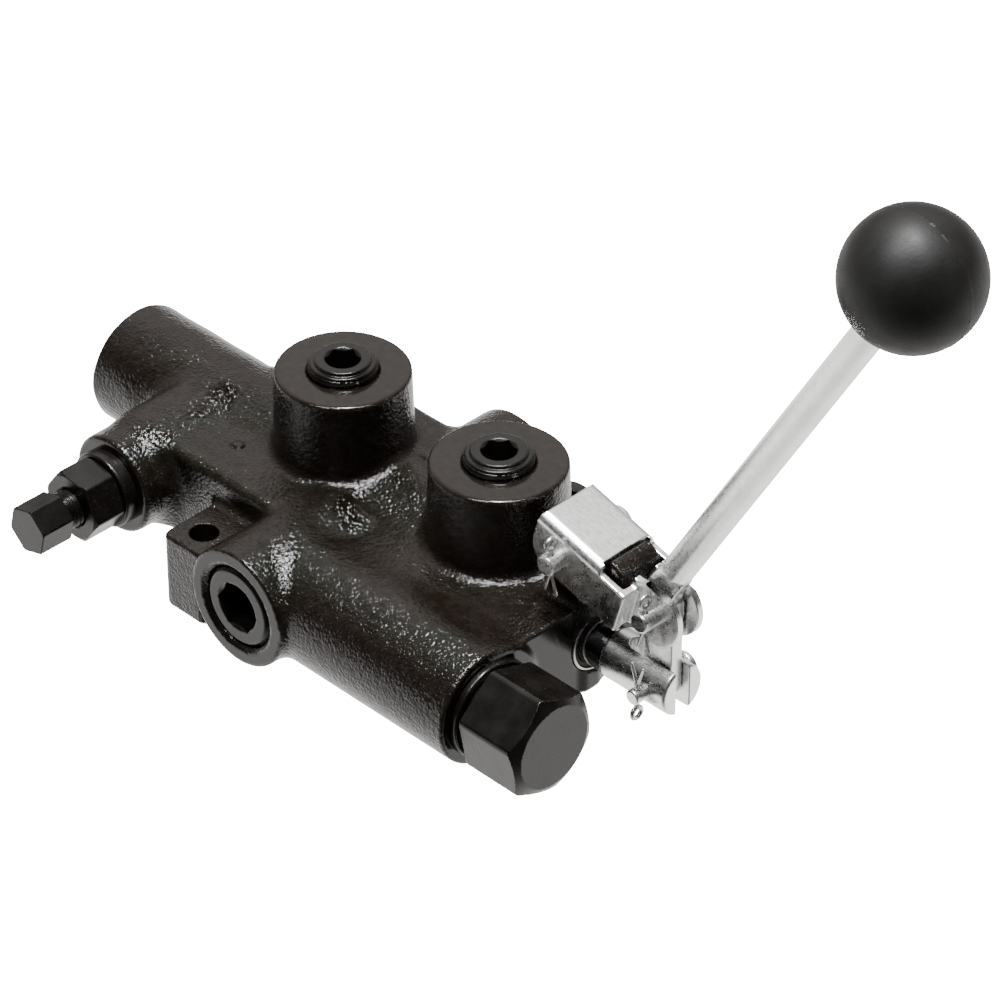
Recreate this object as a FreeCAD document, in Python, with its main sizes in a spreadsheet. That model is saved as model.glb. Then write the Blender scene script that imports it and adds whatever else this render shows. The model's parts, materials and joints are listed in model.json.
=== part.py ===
# A four-port monoblock directional valve with a lever, plugs, relief valve, load check and spool springs.
# Frame: +X along the spool towards the lever, +Y to the back, +Z up. The origin is on the mounting
# plane, under the spool axis and midway between the two work ports. Millimetres.
import FreeCAD, Part
import math
import os
import Sketcher

V = FreeCAD.Vector
doc = FreeCAD.newDocument("monoblock_valve")
sizes = doc.addObject("Spreadsheet::Sheet", "sizes")

DIMENSIONS = {
    # casting
    "axis_height": 20.0,
    "port_spacing": 65.6,
    "barrel_radius": 19.5,
    "barrel_left": -126.7,
    "body_right": 73.0,
    "web_top": 35.5,
    "web_bottom": 4.0,
    "web_left": -91.0,
    "web_front": -38.0,
    "web_back": 31.0,
    "boss_radius": 20.6,
    "boss_foot_radius": 21.8,
    "boss_top": 63.0,
    "gallery_y": -44.3,
    "tank_gallery_y": 21.0,
    "gallery_radius": 18.7,
    "side_port_x": -11.3,
    "side_port_face": -64.5,
    "side_port_radius": 19.2,
    "rear_port_x": -4.5,
    "rear_port_face": 45.0,
    "rear_port_radius": 18.5,
    "relief_x": -83.0,
    "neck_radius": 16.0,
    "neck_face": -49.5,
    "ear_radius": 9.0,
    "ear_height": 26.0,
    "ear_hole_radius": 4.37,
    "foot_pad_length": 48.0,
    "foot_pad_width": 24.0,
    "front_ear_x": -39.4,
    "front_ear_y": -51.1,
    "rear_ear_y": 37.0,
    "rear_ear_left_x": -62.8,
    "rear_ear_right_x": 24.2,
    # pipe threads: radius at the mouth and depth of the plugged length
    "work_thread_radius": 10.65,
    "side_thread_radius": 13.35,
    "rear_thread_radius": 12.1,
    "thread_depth": 16.0,
    # spool and its bore
    "spool_radius": 9.5,
    "spool_clearance": 0.03,
    "spool_left": -92.8,
    "spool_shoulder": 57.2,
    "tail_radius": 7.6,
    "tail_clearance": 0.06,
    "clevis_radius": 8.1,
    "clevis_left": 81.2,
    "clevis_right": 107.2,
    "seal_radius": 10.1,
    "chamber_radius": 13.0,
    "chamber_width": 12.0,
    "tank_chamber_x": 52.0,
    "neck_depth": 3.0,
    "land_overlap": 5.0,
    # spring chamber in the barrel
    "spring_bore_radius": 15.0,
    "spring_shoulder": -84.0,
    "spring_seat_thickness": 1.5,
    "collar_half_width": 1.5,
    "end_plug_face": -119.2,
    "centering_coil_radius": 11.8,
    "centering_wire_radius": 0.9,
    # link, lever and pins
    "lug_pin_x": 69.2,
    "lug_pin_z": 53.8,
    "fulcrum_x": 99.2,
    "fulcrum_z": 45.5,
    "lug_half_width": 8.0,
    "pin_radius": 3.175,
    "spool_pin_radius": 2.4,
    "pin_clearance": 0.05,
    "sheet_thickness": 2.5,
    "link_half_width": 11.5,
    "link_top": 8.0,
    "link_bottom": -9.0,
    "fork_half_gap": 2.9,
    "fork_radius": 10.3,
    "blade_half_thickness": 2.25,
    "blade_half_width": 5.35,
    "foot_hole_radius": 4.1,
    "bend_height": 53.0,
    "handle_tilt": 30.2,
    "tab_half_width": 4.7,
    "tab_length": 9.4,
    "handle_length": 166.4,
    "rod_radius": 4.76,
    "ball_radius": 20.0,
    # internal hexagons and depths of the pipe plugs
    "work_plug_proud": 4.0,
    "work_socket_flats": 9.6,
    "side_plug_recess": 0.6,
    "side_socket_flats": 14.3,
    # large hex plug of the gallery and the load check behind it
    "gallery_thread_radius": 13.4,
    "hex_plug_flats": 30.2,
    "hex_plug_left": 77.2,
    "hex_plug_right": 99.4,
    "check_seat_x": 6.0,
    "check_seat_radius": 7.0,
    "check_chamber_radius": 11.0,
    # relief cartridge
    "relief_thread_radius": 9.5,
    "relief_flange_radius": 12.6,
    "relief_flange_front": -54.0,
    "lock_nut_front": -65.8,
    "lock_nut_flats": 20.6,
    "screw_radius": 5.98,
    "screw_bore_radius": 6.05,
    "screw_head_back": -71.0,
    "screw_head_front": -83.0,
    "screw_head_flats": 14.3,
}


def fill_sheet():
    for row, (alias, value) in enumerate(DIMENSIONS.items(), 1):
        sizes.set("A%d" % row, alias)
        sizes.set("B%d" % row, str(value))
        sizes.setAlias("B%d" % row, alias)
    doc.recompute()


fill_sheet()


def number(expression):
    """The value of an expression of sheet sizes; a plain number stays as it is."""
    if isinstance(expression, (int, float)):
        return float(expression)
    return float(sizes.evalExpression(expression))


def text(expression):
    return expression if isinstance(expression, str) else repr(float(expression))


ALONG = {
    "+X": FreeCAD.Rotation(V(0, 1, 0), 90),
    "-X": FreeCAD.Rotation(V(0, 1, 0), -90),
    "+Y": FreeCAD.Rotation(V(1, 0, 0), -90),
    "-Y": FreeCAD.Rotation(V(1, 0, 0), 90),
    "+Z": FreeCAD.Rotation(),
}
TURNED = {
    "+X": FreeCAD.Rotation(),
    "-X": FreeCAD.Rotation(V(0, 0, 1), 180),
    "+Y": FreeCAD.Rotation(V(0, 0, 1), 90),
    "-Y": FreeCAD.Rotation(V(0, 0, 1), -90),
    "+Z": FreeCAD.Rotation(V(0, 1, 0), -90),
}


def put(piece, at, rotation):
    """Place a piece: its position is bound to the sheet, its rotation is fixed."""
    piece.Placement = FreeCAD.Placement(V(*[number(c) for c in at]), rotation)
    for letter, expression in zip("xyz", at):
        piece.setExpression("Placement.Base." + letter, text(expression))
    return piece


def cylinder(name, radius, length, at, along="+Z"):
    rod = doc.addObject("Part::Cylinder", name)
    rod.setExpression("Radius", text(radius))
    rod.setExpression("Height", text(length))
    return put(rod, at, ALONG[along])


def cone(name, start_radius, end_radius, length, at, along="+Z"):
    taper = doc.addObject("Part::Cone", name)
    taper.setExpression("Radius1", text(start_radius))
    taper.setExpression("Radius2", text(end_radius))
    taper.setExpression("Height", text(length))
    return put(taper, at, ALONG[along])


def block(name, x_span, y_span, z_span):
    box = doc.addObject("Part::Box", name)
    spans = (x_span, y_span, z_span)
    for side, (low, high) in zip(("Length", "Width", "Height"), spans):
        box.setExpression(side, "%s - (%s)" % (text(high), text(low)))
    return put(box, [low for low, high in spans], FreeCAD.Rotation())


def hexagon(name, flats, length, at, along, spin=0.0):
    """A hexagonal bar, given by its size across flats."""
    bar = doc.addObject("Part::Prism", name)
    bar.Polygon = 6
    bar.setExpression("Circumradius", "(%s) / sqrt(3)" % text(flats))
    bar.setExpression("Height", text(length))
    return put(bar, at, ALONG[along].multiply(FreeCAD.Rotation(V(0, 0, 1), spin)))


def fuse(name, pieces):
    joined = doc.addObject("Part::MultiFuse", name)
    joined.Shapes = pieces
    return joined


def cut(name, base, tools):
    remaining = doc.addObject("Part::Cut", name)
    remaining.Base = base
    remaining.Tool = tools[0] if len(tools) == 1 else fuse(name + "_tools", tools)
    return remaining


def common(name, first, second):
    overlap = doc.addObject("Part::Common", name)
    overlap.Base = first
    overlap.Tool = second
    return overlap


def origin_plane(body, role):
    return next(f for f in body.Origin.OriginFeatures if f.Role == role)


def outline(body, name, role, corners):
    """A closed straight-sided sketch; each corner's two coordinates are bound to the sheet."""
    sketch = body.newObject("Sketcher::SketchObject", name)
    sketch.AttachmentSupport = [(origin_plane(body, role), "")]
    sketch.MapMode = "FlatFace"
    points = [V(number(a), number(b), 0) for a, b in corners]
    count = len(points)
    for i in range(count):
        sketch.addGeometry(Part.LineSegment(points[i], points[(i + 1) % count]))
    for i in range(count):
        sketch.addConstraint(Sketcher.Constraint("Coincident", i, 2, (i + 1) % count, 1))
    for i, (a, b) in enumerate(corners):
        for kind, expression in (("DistanceX", a), ("DistanceY", b)):
            rule = sketch.addConstraint(Sketcher.Constraint(kind, -1, 1, i, 1, number(expression)))
            sketch.setExpression("Constraints[%d]" % rule, text(expression))
    return sketch


def turned(label, corners, at, along="+X"):
    """A lathe-turned body. Corners are (distance along the axis, radius)."""
    body = doc.addObject("PartDesign::Body", label)
    sketch = outline(body, label + "_profile", "XY_Plane", corners)
    revolution = body.newObject("PartDesign::Revolution", label + "_turned")
    revolution.Profile = sketch
    revolution.ReferenceAxis = (sketch, ["H_Axis"])
    revolution.Angle = 360
    return put(body, at, TURNED[along])


def ring_corners(length, inner, outer):
    return [(0, inner), (length, inner), (length, outer), (0, outer)]


def coil(name, coil_radius, wire_radius, length, turns, at, along):
    """A compression spring between two faces, its wire ends just inside them; the wire has 12 fine flats."""
    helix = doc.addObject("Part::Helix", name + "_helix")
    helix.setExpression("Radius", text(coil_radius))
    helix.setExpression("Height", "%s - 2.1 * (%s)" % (text(length), text(wire_radius)))
    helix.setExpression("Pitch", "(%s - 2.1 * (%s)) / %d" % (text(length), text(wire_radius), turns))
    section = doc.addObject("Part::RegularPolygon", name + "_wire")
    section.Polygon = 12
    section.setExpression("Circumradius", text(wire_radius))
    inset = "1.05 * (%s)" % text(wire_radius)
    put(helix, (0, 0, inset), FreeCAD.Rotation())
    put(section, (coil_radius, 0, inset), FreeCAD.Rotation(V(1, 0, 0), 90))
    wire = doc.addObject("Part::Sweep", name)
    wire.Sections = [section]
    wire.Spine = (helix, ["Edge1"])
    wire.Solid = True
    wire.Frenet = True
    return put(wire, at, ALONG[along])


PARTS = []


def sub_part(piece, label):
    """Mark an object as a finished piece under its own name."""
    piece.Label = label
    PARTS.append(piece)
    return piece


# ---------------------------------------------------------------- casting
AXIS = "sizes.axis_height"
WORK_PORTS = {"a": "-sizes.port_spacing / 2", "b": "sizes.port_spacing / 2"}
LINK_TILT = math.degrees(
    math.atan2(
        number("sizes.lug_pin_z - sizes.fulcrum_z"),
        number("sizes.fulcrum_x - sizes.lug_pin_x"),
    )
)
LINK_LENGTH = "sqrt((sizes.fulcrum_x - sizes.lug_pin_x)^2 + (sizes.lug_pin_z - sizes.fulcrum_z)^2)"
LUG_PIN = ("sizes.lug_pin_x", 0, "sizes.lug_pin_z")
FULCRUM = ("sizes.fulcrum_x", 0, "sizes.fulcrum_z")
BEND = ("sizes.fulcrum_x", 0, "sizes.bend_height")
SPOOL_PIN = ("sizes.fulcrum_x", 0, AXIS)


def ear(name, x, y, reach_y):
    """A mounting ear: a round lobe joined to the web by a flat tongue."""
    lobe = cylinder(name + "_lobe", "sizes.ear_radius", "sizes.ear_height", (x, y, 0))
    low, high = sorted((y, reach_y), key=number)
    sides = ("%s - sizes.ear_radius" % x, "%s + sizes.ear_radius" % x)
    tongue = block(name + "_tongue", sides, (low, high), (0, "sizes.ear_height"))
    return [lobe, tongue]


def lug_solids():
    """The arm above the spool that carries the link: a post, a round head and a nose, 16 mm thick."""
    width = "2 * sizes.lug_half_width"
    near = "-sizes.lug_half_width"
    span = (near, "sizes.lug_half_width")
    post_span = ("sizes.lug_pin_x - 8.4", "sizes.body_right")
    post = block("lug_post", post_span, span, ("sizes.web_top - 5", LUG_PIN[2]))
    head_at = (LUG_PIN[0], near, LUG_PIN[2])
    head = cylinder("lug_head", 8.4, width, head_at, "+Y")
    arm = block("lug_arm", (0, 13.8), span, (-7.3, 7.3))
    nose = cylinder("lug_nose", 7.3, width, (13.8, near, 0), "+Y")
    reach = fuse("lug_reach", [arm, nose])
    put(reach, LUG_PIN, FreeCAD.Rotation(V(0, 1, 0), LINK_TILT))
    return [post, head, reach]


def lug_relief():
    """Room under the link's top plate, so that the link can rock."""
    top = block("lug_top_room", (-14, 16.6), (-12, 12), (4.6, 14))
    back = block("lug_back_room", (-14, -9.4), (-12, 12), (0, 14))
    return put(fuse("lug_room", [top, back]), LUG_PIN, FreeCAD.Rotation(V(0, 1, 0), LINK_TILT))


def casting_solids():
    top_span = ("sizes.web_bottom", "sizes.web_top")
    barrel_at = ("sizes.barrel_left", 0, AXIS)
    solids = [
        cylinder("barrel", "sizes.barrel_radius", "40 - sizes.barrel_left", barrel_at, "+X"),
        block("web_left_front", ("sizes.web_left", "sizes.side_port_x"), ("sizes.web_front", 0), top_span),
        block("web_right_front", ("sizes.side_port_x", "sizes.body_right"), ("sizes.gallery_y", 0), top_span),
        block("web_rear", (-77.8, 49.2), (0, "sizes.web_back"), top_span),
        block("web_right_rear", (40, "sizes.body_right"), (0, 17), top_span),
    ]
    gallery_at = ("sizes.side_port_x", "sizes.gallery_y", AXIS)
    gallery_length = "sizes.body_right - sizes.side_port_x"
    solids.append(cylinder("gallery", "sizes.gallery_radius", gallery_length, gallery_at, "+X"))
    port_at = ("sizes.side_port_x", "sizes.side_port_face", AXIS)
    side_length = "-20 - sizes.side_port_face"
    solids.append(cylinder("side_port_boss", "sizes.side_port_radius", side_length, port_at, "+Y"))
    rear_at = ("sizes.rear_port_x", 15, AXIS)
    rear_length = "sizes.rear_port_face - 15"
    solids.append(cylinder("rear_port_boss", "sizes.rear_port_radius", rear_length, rear_at, "+Y"))
    neck_at = ("sizes.relief_x", "sizes.neck_face", AXIS)
    solids.append(cylinder("relief_neck", "sizes.neck_radius", "-sizes.neck_face", neck_at, "+Y"))
    for key, x in WORK_PORTS.items():
        height = "sizes.boss_top - 30"
        solids.append(cone("boss_" + key, "sizes.boss_foot_radius", "sizes.boss_radius", height, (x, 0, 30)))
    pad_x = ("-sizes.foot_pad_length / 2", "sizes.foot_pad_length / 2")
    pad_y = ("-sizes.foot_pad_width / 2", "sizes.foot_pad_width / 2")
    solids.append(block("foot_pad", pad_x, pad_y, (0, 8)))
    solids += ear("ear_front", "sizes.front_ear_x", "sizes.front_ear_y", -30)
    solids += ear("ear_rear_left", "sizes.rear_ear_left_x", "sizes.rear_ear_y", 25)
    solids += ear("ear_rear_right", "sizes.rear_ear_right_x", "sizes.rear_ear_y", 25)
    return solids + lug_solids()


def spool_bore_tools():
    """The stepped bore along the spool, its core chambers and the spring chamber."""
    tools = []
    steps = [
        ("spring_bore", "sizes.spring_bore_radius", "sizes.barrel_left", "sizes.spring_shoulder"),
        ("rear_gland", 12.0, "sizes.spring_shoulder", "sizes.spring_shoulder + 3.5"),
        ("spool_bore", "sizes.spool_radius + sizes.spool_clearance", "sizes.spring_shoulder", 66),
        ("front_gland", "sizes.seal_radius", 66, "sizes.body_right"),
    ]
    for name, radius, start, end in steps:
        length = "(%s) - (%s)" % (text(end), text(start))
        tools.append(cylinder(name, radius, length, (start, 0, AXIS), "+X"))
    centres = {
        "tank_left": "-sizes.tank_chamber_x",
        "work_a": "-sizes.port_spacing / 2",
        "pressure": 0,
        "work_b": "sizes.port_spacing / 2",
        "tank_right": "sizes.tank_chamber_x",
    }
    for name, x in centres.items():
        start = "%s - sizes.chamber_width / 2" % text(x)
        at = (start, 0, AXIS)
        tools.append(cylinder("chamber_" + name, "sizes.chamber_radius", "sizes.chamber_width", at, "+X"))
    return tools


def port_tools():
    """Threaded mouths of the ports and the passages behind them."""
    tools = []
    work_radius = "sizes.work_thread_radius"
    feed_length = "sizes.boss_top - sizes.axis_height - 8"
    for key, x in WORK_PORTS.items():
        mouth_z = "sizes.boss_top - sizes.thread_depth"
        tools.append(cylinder("work_mouth_" + key, work_radius, "sizes.thread_depth", (x, 0, mouth_z)))
        tools.append(cylinder("work_feed_" + key, 8, feed_length, (x, 0, "%s + 8" % AXIS)))
        flare = ("sizes.work_thread_radius", "sizes.work_thread_radius + 1.2", 1.2)
        tools.append(cone("work_flare_" + key, *flare, (x, 0, "sizes.boss_top - 1.2")))
    side = ("sizes.side_port_x", "sizes.side_port_face", AXIS)
    tools.append(cylinder("side_mouth", "sizes.side_thread_radius", "sizes.thread_depth", side, "+Y"))
    tools.append(cylinder("side_feed", 10, "-21 - sizes.side_port_face", side, "+Y"))
    flare = ("sizes.side_thread_radius + 1.3", "sizes.side_thread_radius", 1.3)
    tools.append(cone("side_flare", *flare, side, "+Y"))
    rear = ("sizes.rear_port_x", "sizes.rear_port_face", AXIS)
    tools.append(cylinder("rear_mouth", "sizes.rear_thread_radius", 20, rear, "-Y"))
    tools.append(cylinder("rear_feed", 7, 27, rear, "-Y"))
    flare = ("sizes.rear_thread_radius + 1.3", "sizes.rear_thread_radius", 1.3)
    tools.append(cone("rear_flare", *flare, rear, "-Y"))
    return tools


def slanted(name, radius, start, end):
    """A cored passage at the height of the spool axis, from one (x, y) to another."""
    run = V(number(end[0]) - number(start[0]), number(end[1]) - number(start[1]), 0)
    passage = doc.addObject("Part::Cylinder", name)
    passage.setExpression("Radius", text(radius))
    passage.Height = run.Length
    return put(passage, (start[0], start[1], AXIS), FreeCAD.Rotation(V(0, 0, 1), run))


def gallery_tools():
    """The pressure gallery with its check seat, the tank gallery and the drilled links between them."""
    start = ("sizes.side_port_x", "sizes.gallery_y", AXIS)
    seat = ("sizes.check_seat_x", "sizes.gallery_y", AXIS)
    thread = (55, "sizes.gallery_y", AXIS)
    drain_z = "%s + 8" % AXIS
    tank_at = ("-sizes.tank_chamber_x", "sizes.tank_gallery_y", AXIS)
    inlet_length = "sizes.check_seat_x - sizes.side_port_x"
    drain_at = ("sizes.relief_x", -34, drain_z)
    drain_length = "-sizes.tank_chamber_x - sizes.relief_x"
    return [
        cylinder("gallery_inlet", "sizes.check_seat_radius", inlet_length, start, "+X"),
        cylinder("check_chamber", "sizes.check_chamber_radius", "55 - sizes.check_seat_x", seat, "+X"),
        cylinder("gallery_thread", "sizes.gallery_thread_radius", "sizes.body_right - 55", thread, "+X"),
        slanted("pressure_link", 5, (12, -36), (0, -10)),
        slanted("tank_link_right", 4, (42, "sizes.tank_gallery_y"), ("sizes.tank_chamber_x", 8)),
        cylinder("tank_link_left", 5, "sizes.tank_gallery_y", ("-sizes.tank_chamber_x", 0, AXIS), "+Y"),
        cylinder("tank_gallery", 5, "45 + sizes.tank_chamber_x", tank_at, "+X"),
        cylinder("relief_feed", 3.5, "-11 - sizes.relief_x", ("sizes.relief_x", -23.5, AXIS), "+X"),
        cylinder("relief_drain", 2.5, drain_length, drain_at, "+X"),
        cylinder("drain_link", 2.5, 28, ("-sizes.tank_chamber_x", -34, drain_z), "+Y"),
    ]


def relief_bore_tools():
    mouth = ("sizes.relief_x", "sizes.neck_face", AXIS)
    return [
        cylinder("relief_mouth", "sizes.relief_thread_radius", "-28.5 - sizes.neck_face", mouth, "+Y"),
        cylinder("relief_bore", 5, "-18 - sizes.neck_face", mouth, "+Y"),
    ]


def mounting_tools():
    tools = []
    ears = {
        "front": ("sizes.front_ear_x", "sizes.front_ear_y"),
        "rear_left": ("sizes.rear_ear_left_x", "sizes.rear_ear_y"),
        "rear_right": ("sizes.rear_ear_right_x", "sizes.rear_ear_y"),
    }
    for name, (x, y) in ears.items():
        tools.append(cylinder("hole_" + name, "sizes.ear_hole_radius", "sizes.ear_height + 2", (x, y, -1)))
    return tools


def valve_body():
    solid = fuse("casting_outside", casting_solids())
    pin_at = (LUG_PIN[0], -10, LUG_PIN[2])
    tools = spool_bore_tools() + port_tools() + gallery_tools() + relief_bore_tools() + mounting_tools()
    tools.append(cylinder("lug_pin_hole", "sizes.pin_radius + sizes.pin_clearance", 20, pin_at, "+Y"))
    tools.append(lug_relief())
    sub_part(cut("casting", solid, tools), "valve_body")


# ---------------------------------------------------------------- plugs
def socket_plug(label, profile, outer, socket_flats, spin, at, along):
    """A pipe plug with a hexagon socket. Its axis starts at the inner end, and outer is its length."""
    blank = turned(label + "_blank", profile, (0, 0, 0), "+Z")
    depth = 0.55 * number(outer)
    socket_base = "%s - %s" % (outer, text(depth))
    socket = hexagon(label + "_socket", socket_flats, depth + 1, (0, 0, socket_base), "+Z", spin)
    drill_radius = "%s / 2 - 0.3" % text(socket_flats)
    drill = cylinder(label + "_drill", drill_radius, depth + 2.5, (0, 0, "%s - 2.5" % socket_base))
    plug = cut(label + "_cut", blank, [socket, drill])
    sub_part(put(plug, at, ALONG[along]), label)


def work_plug_profile(outer):
    """Corners of a plug that stands proud: a chamfered top, a ledge below it and the thread."""
    radius = "sizes.work_thread_radius"
    return [
        (0, 0),
        (outer, 0),
        (outer, "%s - 2.4" % radius),
        ("%s - 0.5" % outer, "%s - 1.9" % radius),
        ("%s - 1.9" % outer, "%s - 1.9" % radius),
        ("%s - 1.9" % outer, "%s - 1.0" % radius),
        ("%s - 2.4" % outer, "%s - 0.5" % radius),
        ("sizes.thread_depth", "%s - 0.5" % radius),
        ("sizes.thread_depth", radius),
        (1.0, radius),
        (0, "%s - 0.8" % radius),
    ]


def side_plug_profile(outer):
    """Corners of a plug that sits below its port's face, with both ends chamfered."""
    radius = "sizes.side_thread_radius"
    chamfer = 1.3
    return [
        (0, 0),
        (outer, 0),
        (outer, "%s - %s" % (radius, chamfer)),
        ("%s - %s" % (outer, chamfer), radius),
        (chamfer, radius),
        (0, "%s - %s" % (radius, chamfer)),
    ]


def port_plugs():
    outer = "(sizes.thread_depth + sizes.work_plug_proud)"
    for key, x in WORK_PORTS.items():
        at = (x, 0, "sizes.boss_top - sizes.thread_depth")
        label = "work_port_plug_" + key
        socket_plug(label, work_plug_profile(outer), outer, "sizes.work_socket_flats", 15, at, "+Z")
    at = ("sizes.side_port_x", "sizes.side_port_face + sizes.thread_depth", AXIS)
    outer = "(sizes.thread_depth - sizes.side_plug_recess)"
    socket_plug("side_port_plug", side_plug_profile(outer), outer, "sizes.side_socket_flats", 30, at, "-Y")


def gallery_plug():
    """The large hexagon plug that closes the gallery and guides the check poppet."""
    at = (0, "sizes.gallery_y", AXIS)
    shank = turned(
        "gallery_plug_shank",
        [
            (30, 4.05),
            (50, 4.05),
            (50, 0),
            ("sizes.hex_plug_left + 1", 0),
            ("sizes.hex_plug_left + 1", "sizes.gallery_thread_radius - 0.4"),
            ("sizes.body_right", "sizes.gallery_thread_radius - 0.4"),
            ("sizes.body_right", "sizes.gallery_thread_radius"),
            (56, "sizes.gallery_thread_radius"),
            (56, 9.5),
            (30, 9.5),
        ],
        at,
    )
    length = "sizes.hex_plug_right - sizes.hex_plug_left"
    head_at = ("sizes.hex_plug_left", "sizes.gallery_y", AXIS)
    head = hexagon("gallery_plug_hex", "sizes.hex_plug_flats", length, head_at, "+X", 11)
    rounding = turned(
        "gallery_plug_chamfer",
        [
            (0, 0),
            (length, 0),
            (length, "sizes.hex_plug_flats / 2 - 1.9"),
            ("%s - 2.5" % length, "sizes.hex_plug_flats / 2 + 2.4"),
            (0.8, "sizes.hex_plug_flats / 2 + 2.4"),
            (0, "sizes.hex_plug_flats / 2 + 0.6"),
        ],
        head_at,
    )
    sub_part(fuse("gallery_plug_solid", [shank, common("gallery_plug_head", head, rounding)]), "gallery_plug")
    washer_at = ("sizes.body_right", "sizes.gallery_y", AXIS)
    washer = turned("gallery_plug_washer", ring_corners(2.6, "sizes.gallery_thread_radius", 15.6), washer_at)
    sub_part(washer, "gallery_plug_washer")


def load_check():
    """Poppet and spring that hold the load, seated in the gallery."""
    seat = "sizes.check_seat_radius"
    poppet = turned(
        "check_poppet",
        [
            (-3.0, 0),
            (34, 0),
            (34, 4.0),
            (8, 4.0),
            (8, 9.0),
            (2.1, 9.0),
            (-0.05, "%s - 0.05" % seat),
            (-3.0, "%s - 3" % seat),
        ],
        ("sizes.check_seat_x", "sizes.gallery_y", AXIS),
    )
    sub_part(poppet, "check_poppet")
    at = ("sizes.check_seat_x + 8", "sizes.gallery_y", AXIS)
    sub_part(coil("check_spring", 6.2, 0.9, "22 - sizes.check_seat_x", 4, at, "+X"), "check_spring")


# ---------------------------------------------------------------- relief valve
def relief_valve():
    """Cartridge on the front near the barrel, turned about an axis that points to the front."""
    at = ("sizes.relief_x", 0, AXIS)
    flange = "sizes.relief_flange_radius"
    thread = "sizes.relief_thread_radius"
    front = "-sizes.relief_flange_front"
    face = "-sizes.neck_face"
    body = turned(
        "relief_cartridge_turning",
        [
            (28.5, 3.2),
            (34, 3.2),
            (34, "sizes.screw_bore_radius"),
            (front, "sizes.screw_bore_radius"),
            (front, "%s - 1" % flange),
            ("%s - 1" % front, flange),
            (face, flange),
            (face, 12),
            ("%s + 1.5" % face, 12),
            ("%s + 1.5" % face, 10),
            (face, 10),
            (face, thread),
            (29.5, thread),
            (28.5, "%s - 1" % thread),
        ],
        at,
        "-Y",
    )
    holes = cylinder("relief_cross_hole", 1.5, 30, ("sizes.relief_x", -36.5, "%s - 15" % AXIS))
    sub_part(cut("relief_cartridge_cut", body, [holes]), "relief_cartridge")
    seal_at = ("sizes.relief_x", "sizes.neck_face", AXIS)
    sub_part(turned("relief_seal", ring_corners(1.5, 10, 12), seal_at, "-Y"), "relief_seal")
    poppet_corners = [(31, 0), (38, 0), (38, 5.6), (34.6, 5.6), (34.6, 3.0), (33.2, 3.0), (31, 1.2)]
    sub_part(turned("relief_poppet", poppet_corners, at, "-Y"), "relief_poppet")
    spring_at = ("sizes.relief_x", -38, AXIS)
    sub_part(coil("relief_spring", 4.5, 0.75, 9, 4, spring_at, "-Y"), "relief_spring")
    button = turned("relief_spring_button", [(47, 0), (49, 0), (49, 5.6), (47, 5.6)], at, "-Y")
    sub_part(button, "relief_spring_button")
    nut_at = ("sizes.relief_x", "sizes.relief_flange_front", AXIS)
    nut_length = "sizes.relief_flange_front - sizes.lock_nut_front"
    nut = chamfered_hexagon("lock_nut", "sizes.lock_nut_flats", nut_length, nut_at, 54)
    hole = cylinder("lock_nut_hole", "sizes.screw_bore_radius", 20, nut_at, "-Y")
    sub_part(cut("lock_nut_cut", nut, [hole]), "relief_lock_nut")
    adjusting_screw()


def chamfered_hexagon(name, flats, length, at, spin):
    """A hexagon pointing to the front, its outer corners turned off, one corner at the angle spin."""
    bar = hexagon(name + "_bar", flats, length, at, "-Y", spin)
    half = "%s / 2" % flats
    profile = [(0, 0), (length, 0), (length, "%s - 0.2" % half), ("%s - 1" % length, "%s + 1.6" % half),
               (0, "%s + 1.6" % half)]
    return common(name, bar, turned(name + "_turning", profile, at, "-Y"))


def adjusting_screw():
    head_at = ("sizes.relief_x", "sizes.screw_head_back", AXIS)
    head_length = "sizes.screw_head_back - sizes.screw_head_front"
    head = chamfered_hexagon("screw_head", "sizes.screw_head_flats", head_length, head_at, 16.5)
    shank_length = "-49.05 - sizes.screw_head_back"
    shank = cylinder("screw_shank", "sizes.screw_radius", shank_length, head_at, "+Y")
    sub_part(fuse("adjusting_screw", [head, shank]), "relief_adjusting_screw")


# ---------------------------------------------------------------- spool and springs
def spool():
    corners = [("sizes.spool_left", 0), ("sizes.clevis_left", 0), ("sizes.clevis_left", "sizes.tail_radius")]
    corners += [("sizes.spool_shoulder", "sizes.tail_radius"), ("sizes.spool_shoulder", "sizes.spool_radius")]
    centre_edge = "(sizes.chamber_width / 2 + sizes.land_overlap)"
    tank_edge = "(sizes.tank_chamber_x - %s)" % centre_edge
    pressure_edge = "(sizes.chamber_width / 2 - 2)"
    necks = [
        (tank_edge, centre_edge),
        (pressure_edge, "-" + pressure_edge),
        ("-" + centre_edge, "-" + tank_edge),
    ]
    for right, left in necks:
        floor = "sizes.spool_radius - sizes.neck_depth"
        corners += [(right, "sizes.spool_radius"), ("%s - 0.8" % right, floor)]
        corners += [("%s + 0.8" % left, floor), (left, "sizes.spool_radius")]
    corners.append(("sizes.spool_left", "sizes.spool_radius"))
    sub_part(turned("spool", corners, (0, 0, AXIS)), "spool")


def spool_seals():
    rear_at = ("sizes.spring_shoulder", 0, AXIS)
    rear = ring_corners(3.5, "sizes.spool_radius + 0.05", 12)
    sub_part(turned("spool_rear_seal", rear, rear_at), "spool_rear_seal")
    inner = "sizes.tail_radius + sizes.tail_clearance"
    front = ring_corners(3.5, inner, "sizes.seal_radius")
    sub_part(turned("spool_front_seal", front, (66, 0, AXIS)), "spool_front_seal")
    lip = [(0, inner), (3.9, inner), (3.9, "sizes.seal_radius - 0.8"), (3.1, "sizes.seal_radius")]
    lip.append((0, "sizes.seal_radius"))
    sub_part(turned("spool_wiper_ring", lip, (69.5, 0, AXIS)), "spool_wiper_ring")


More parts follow.
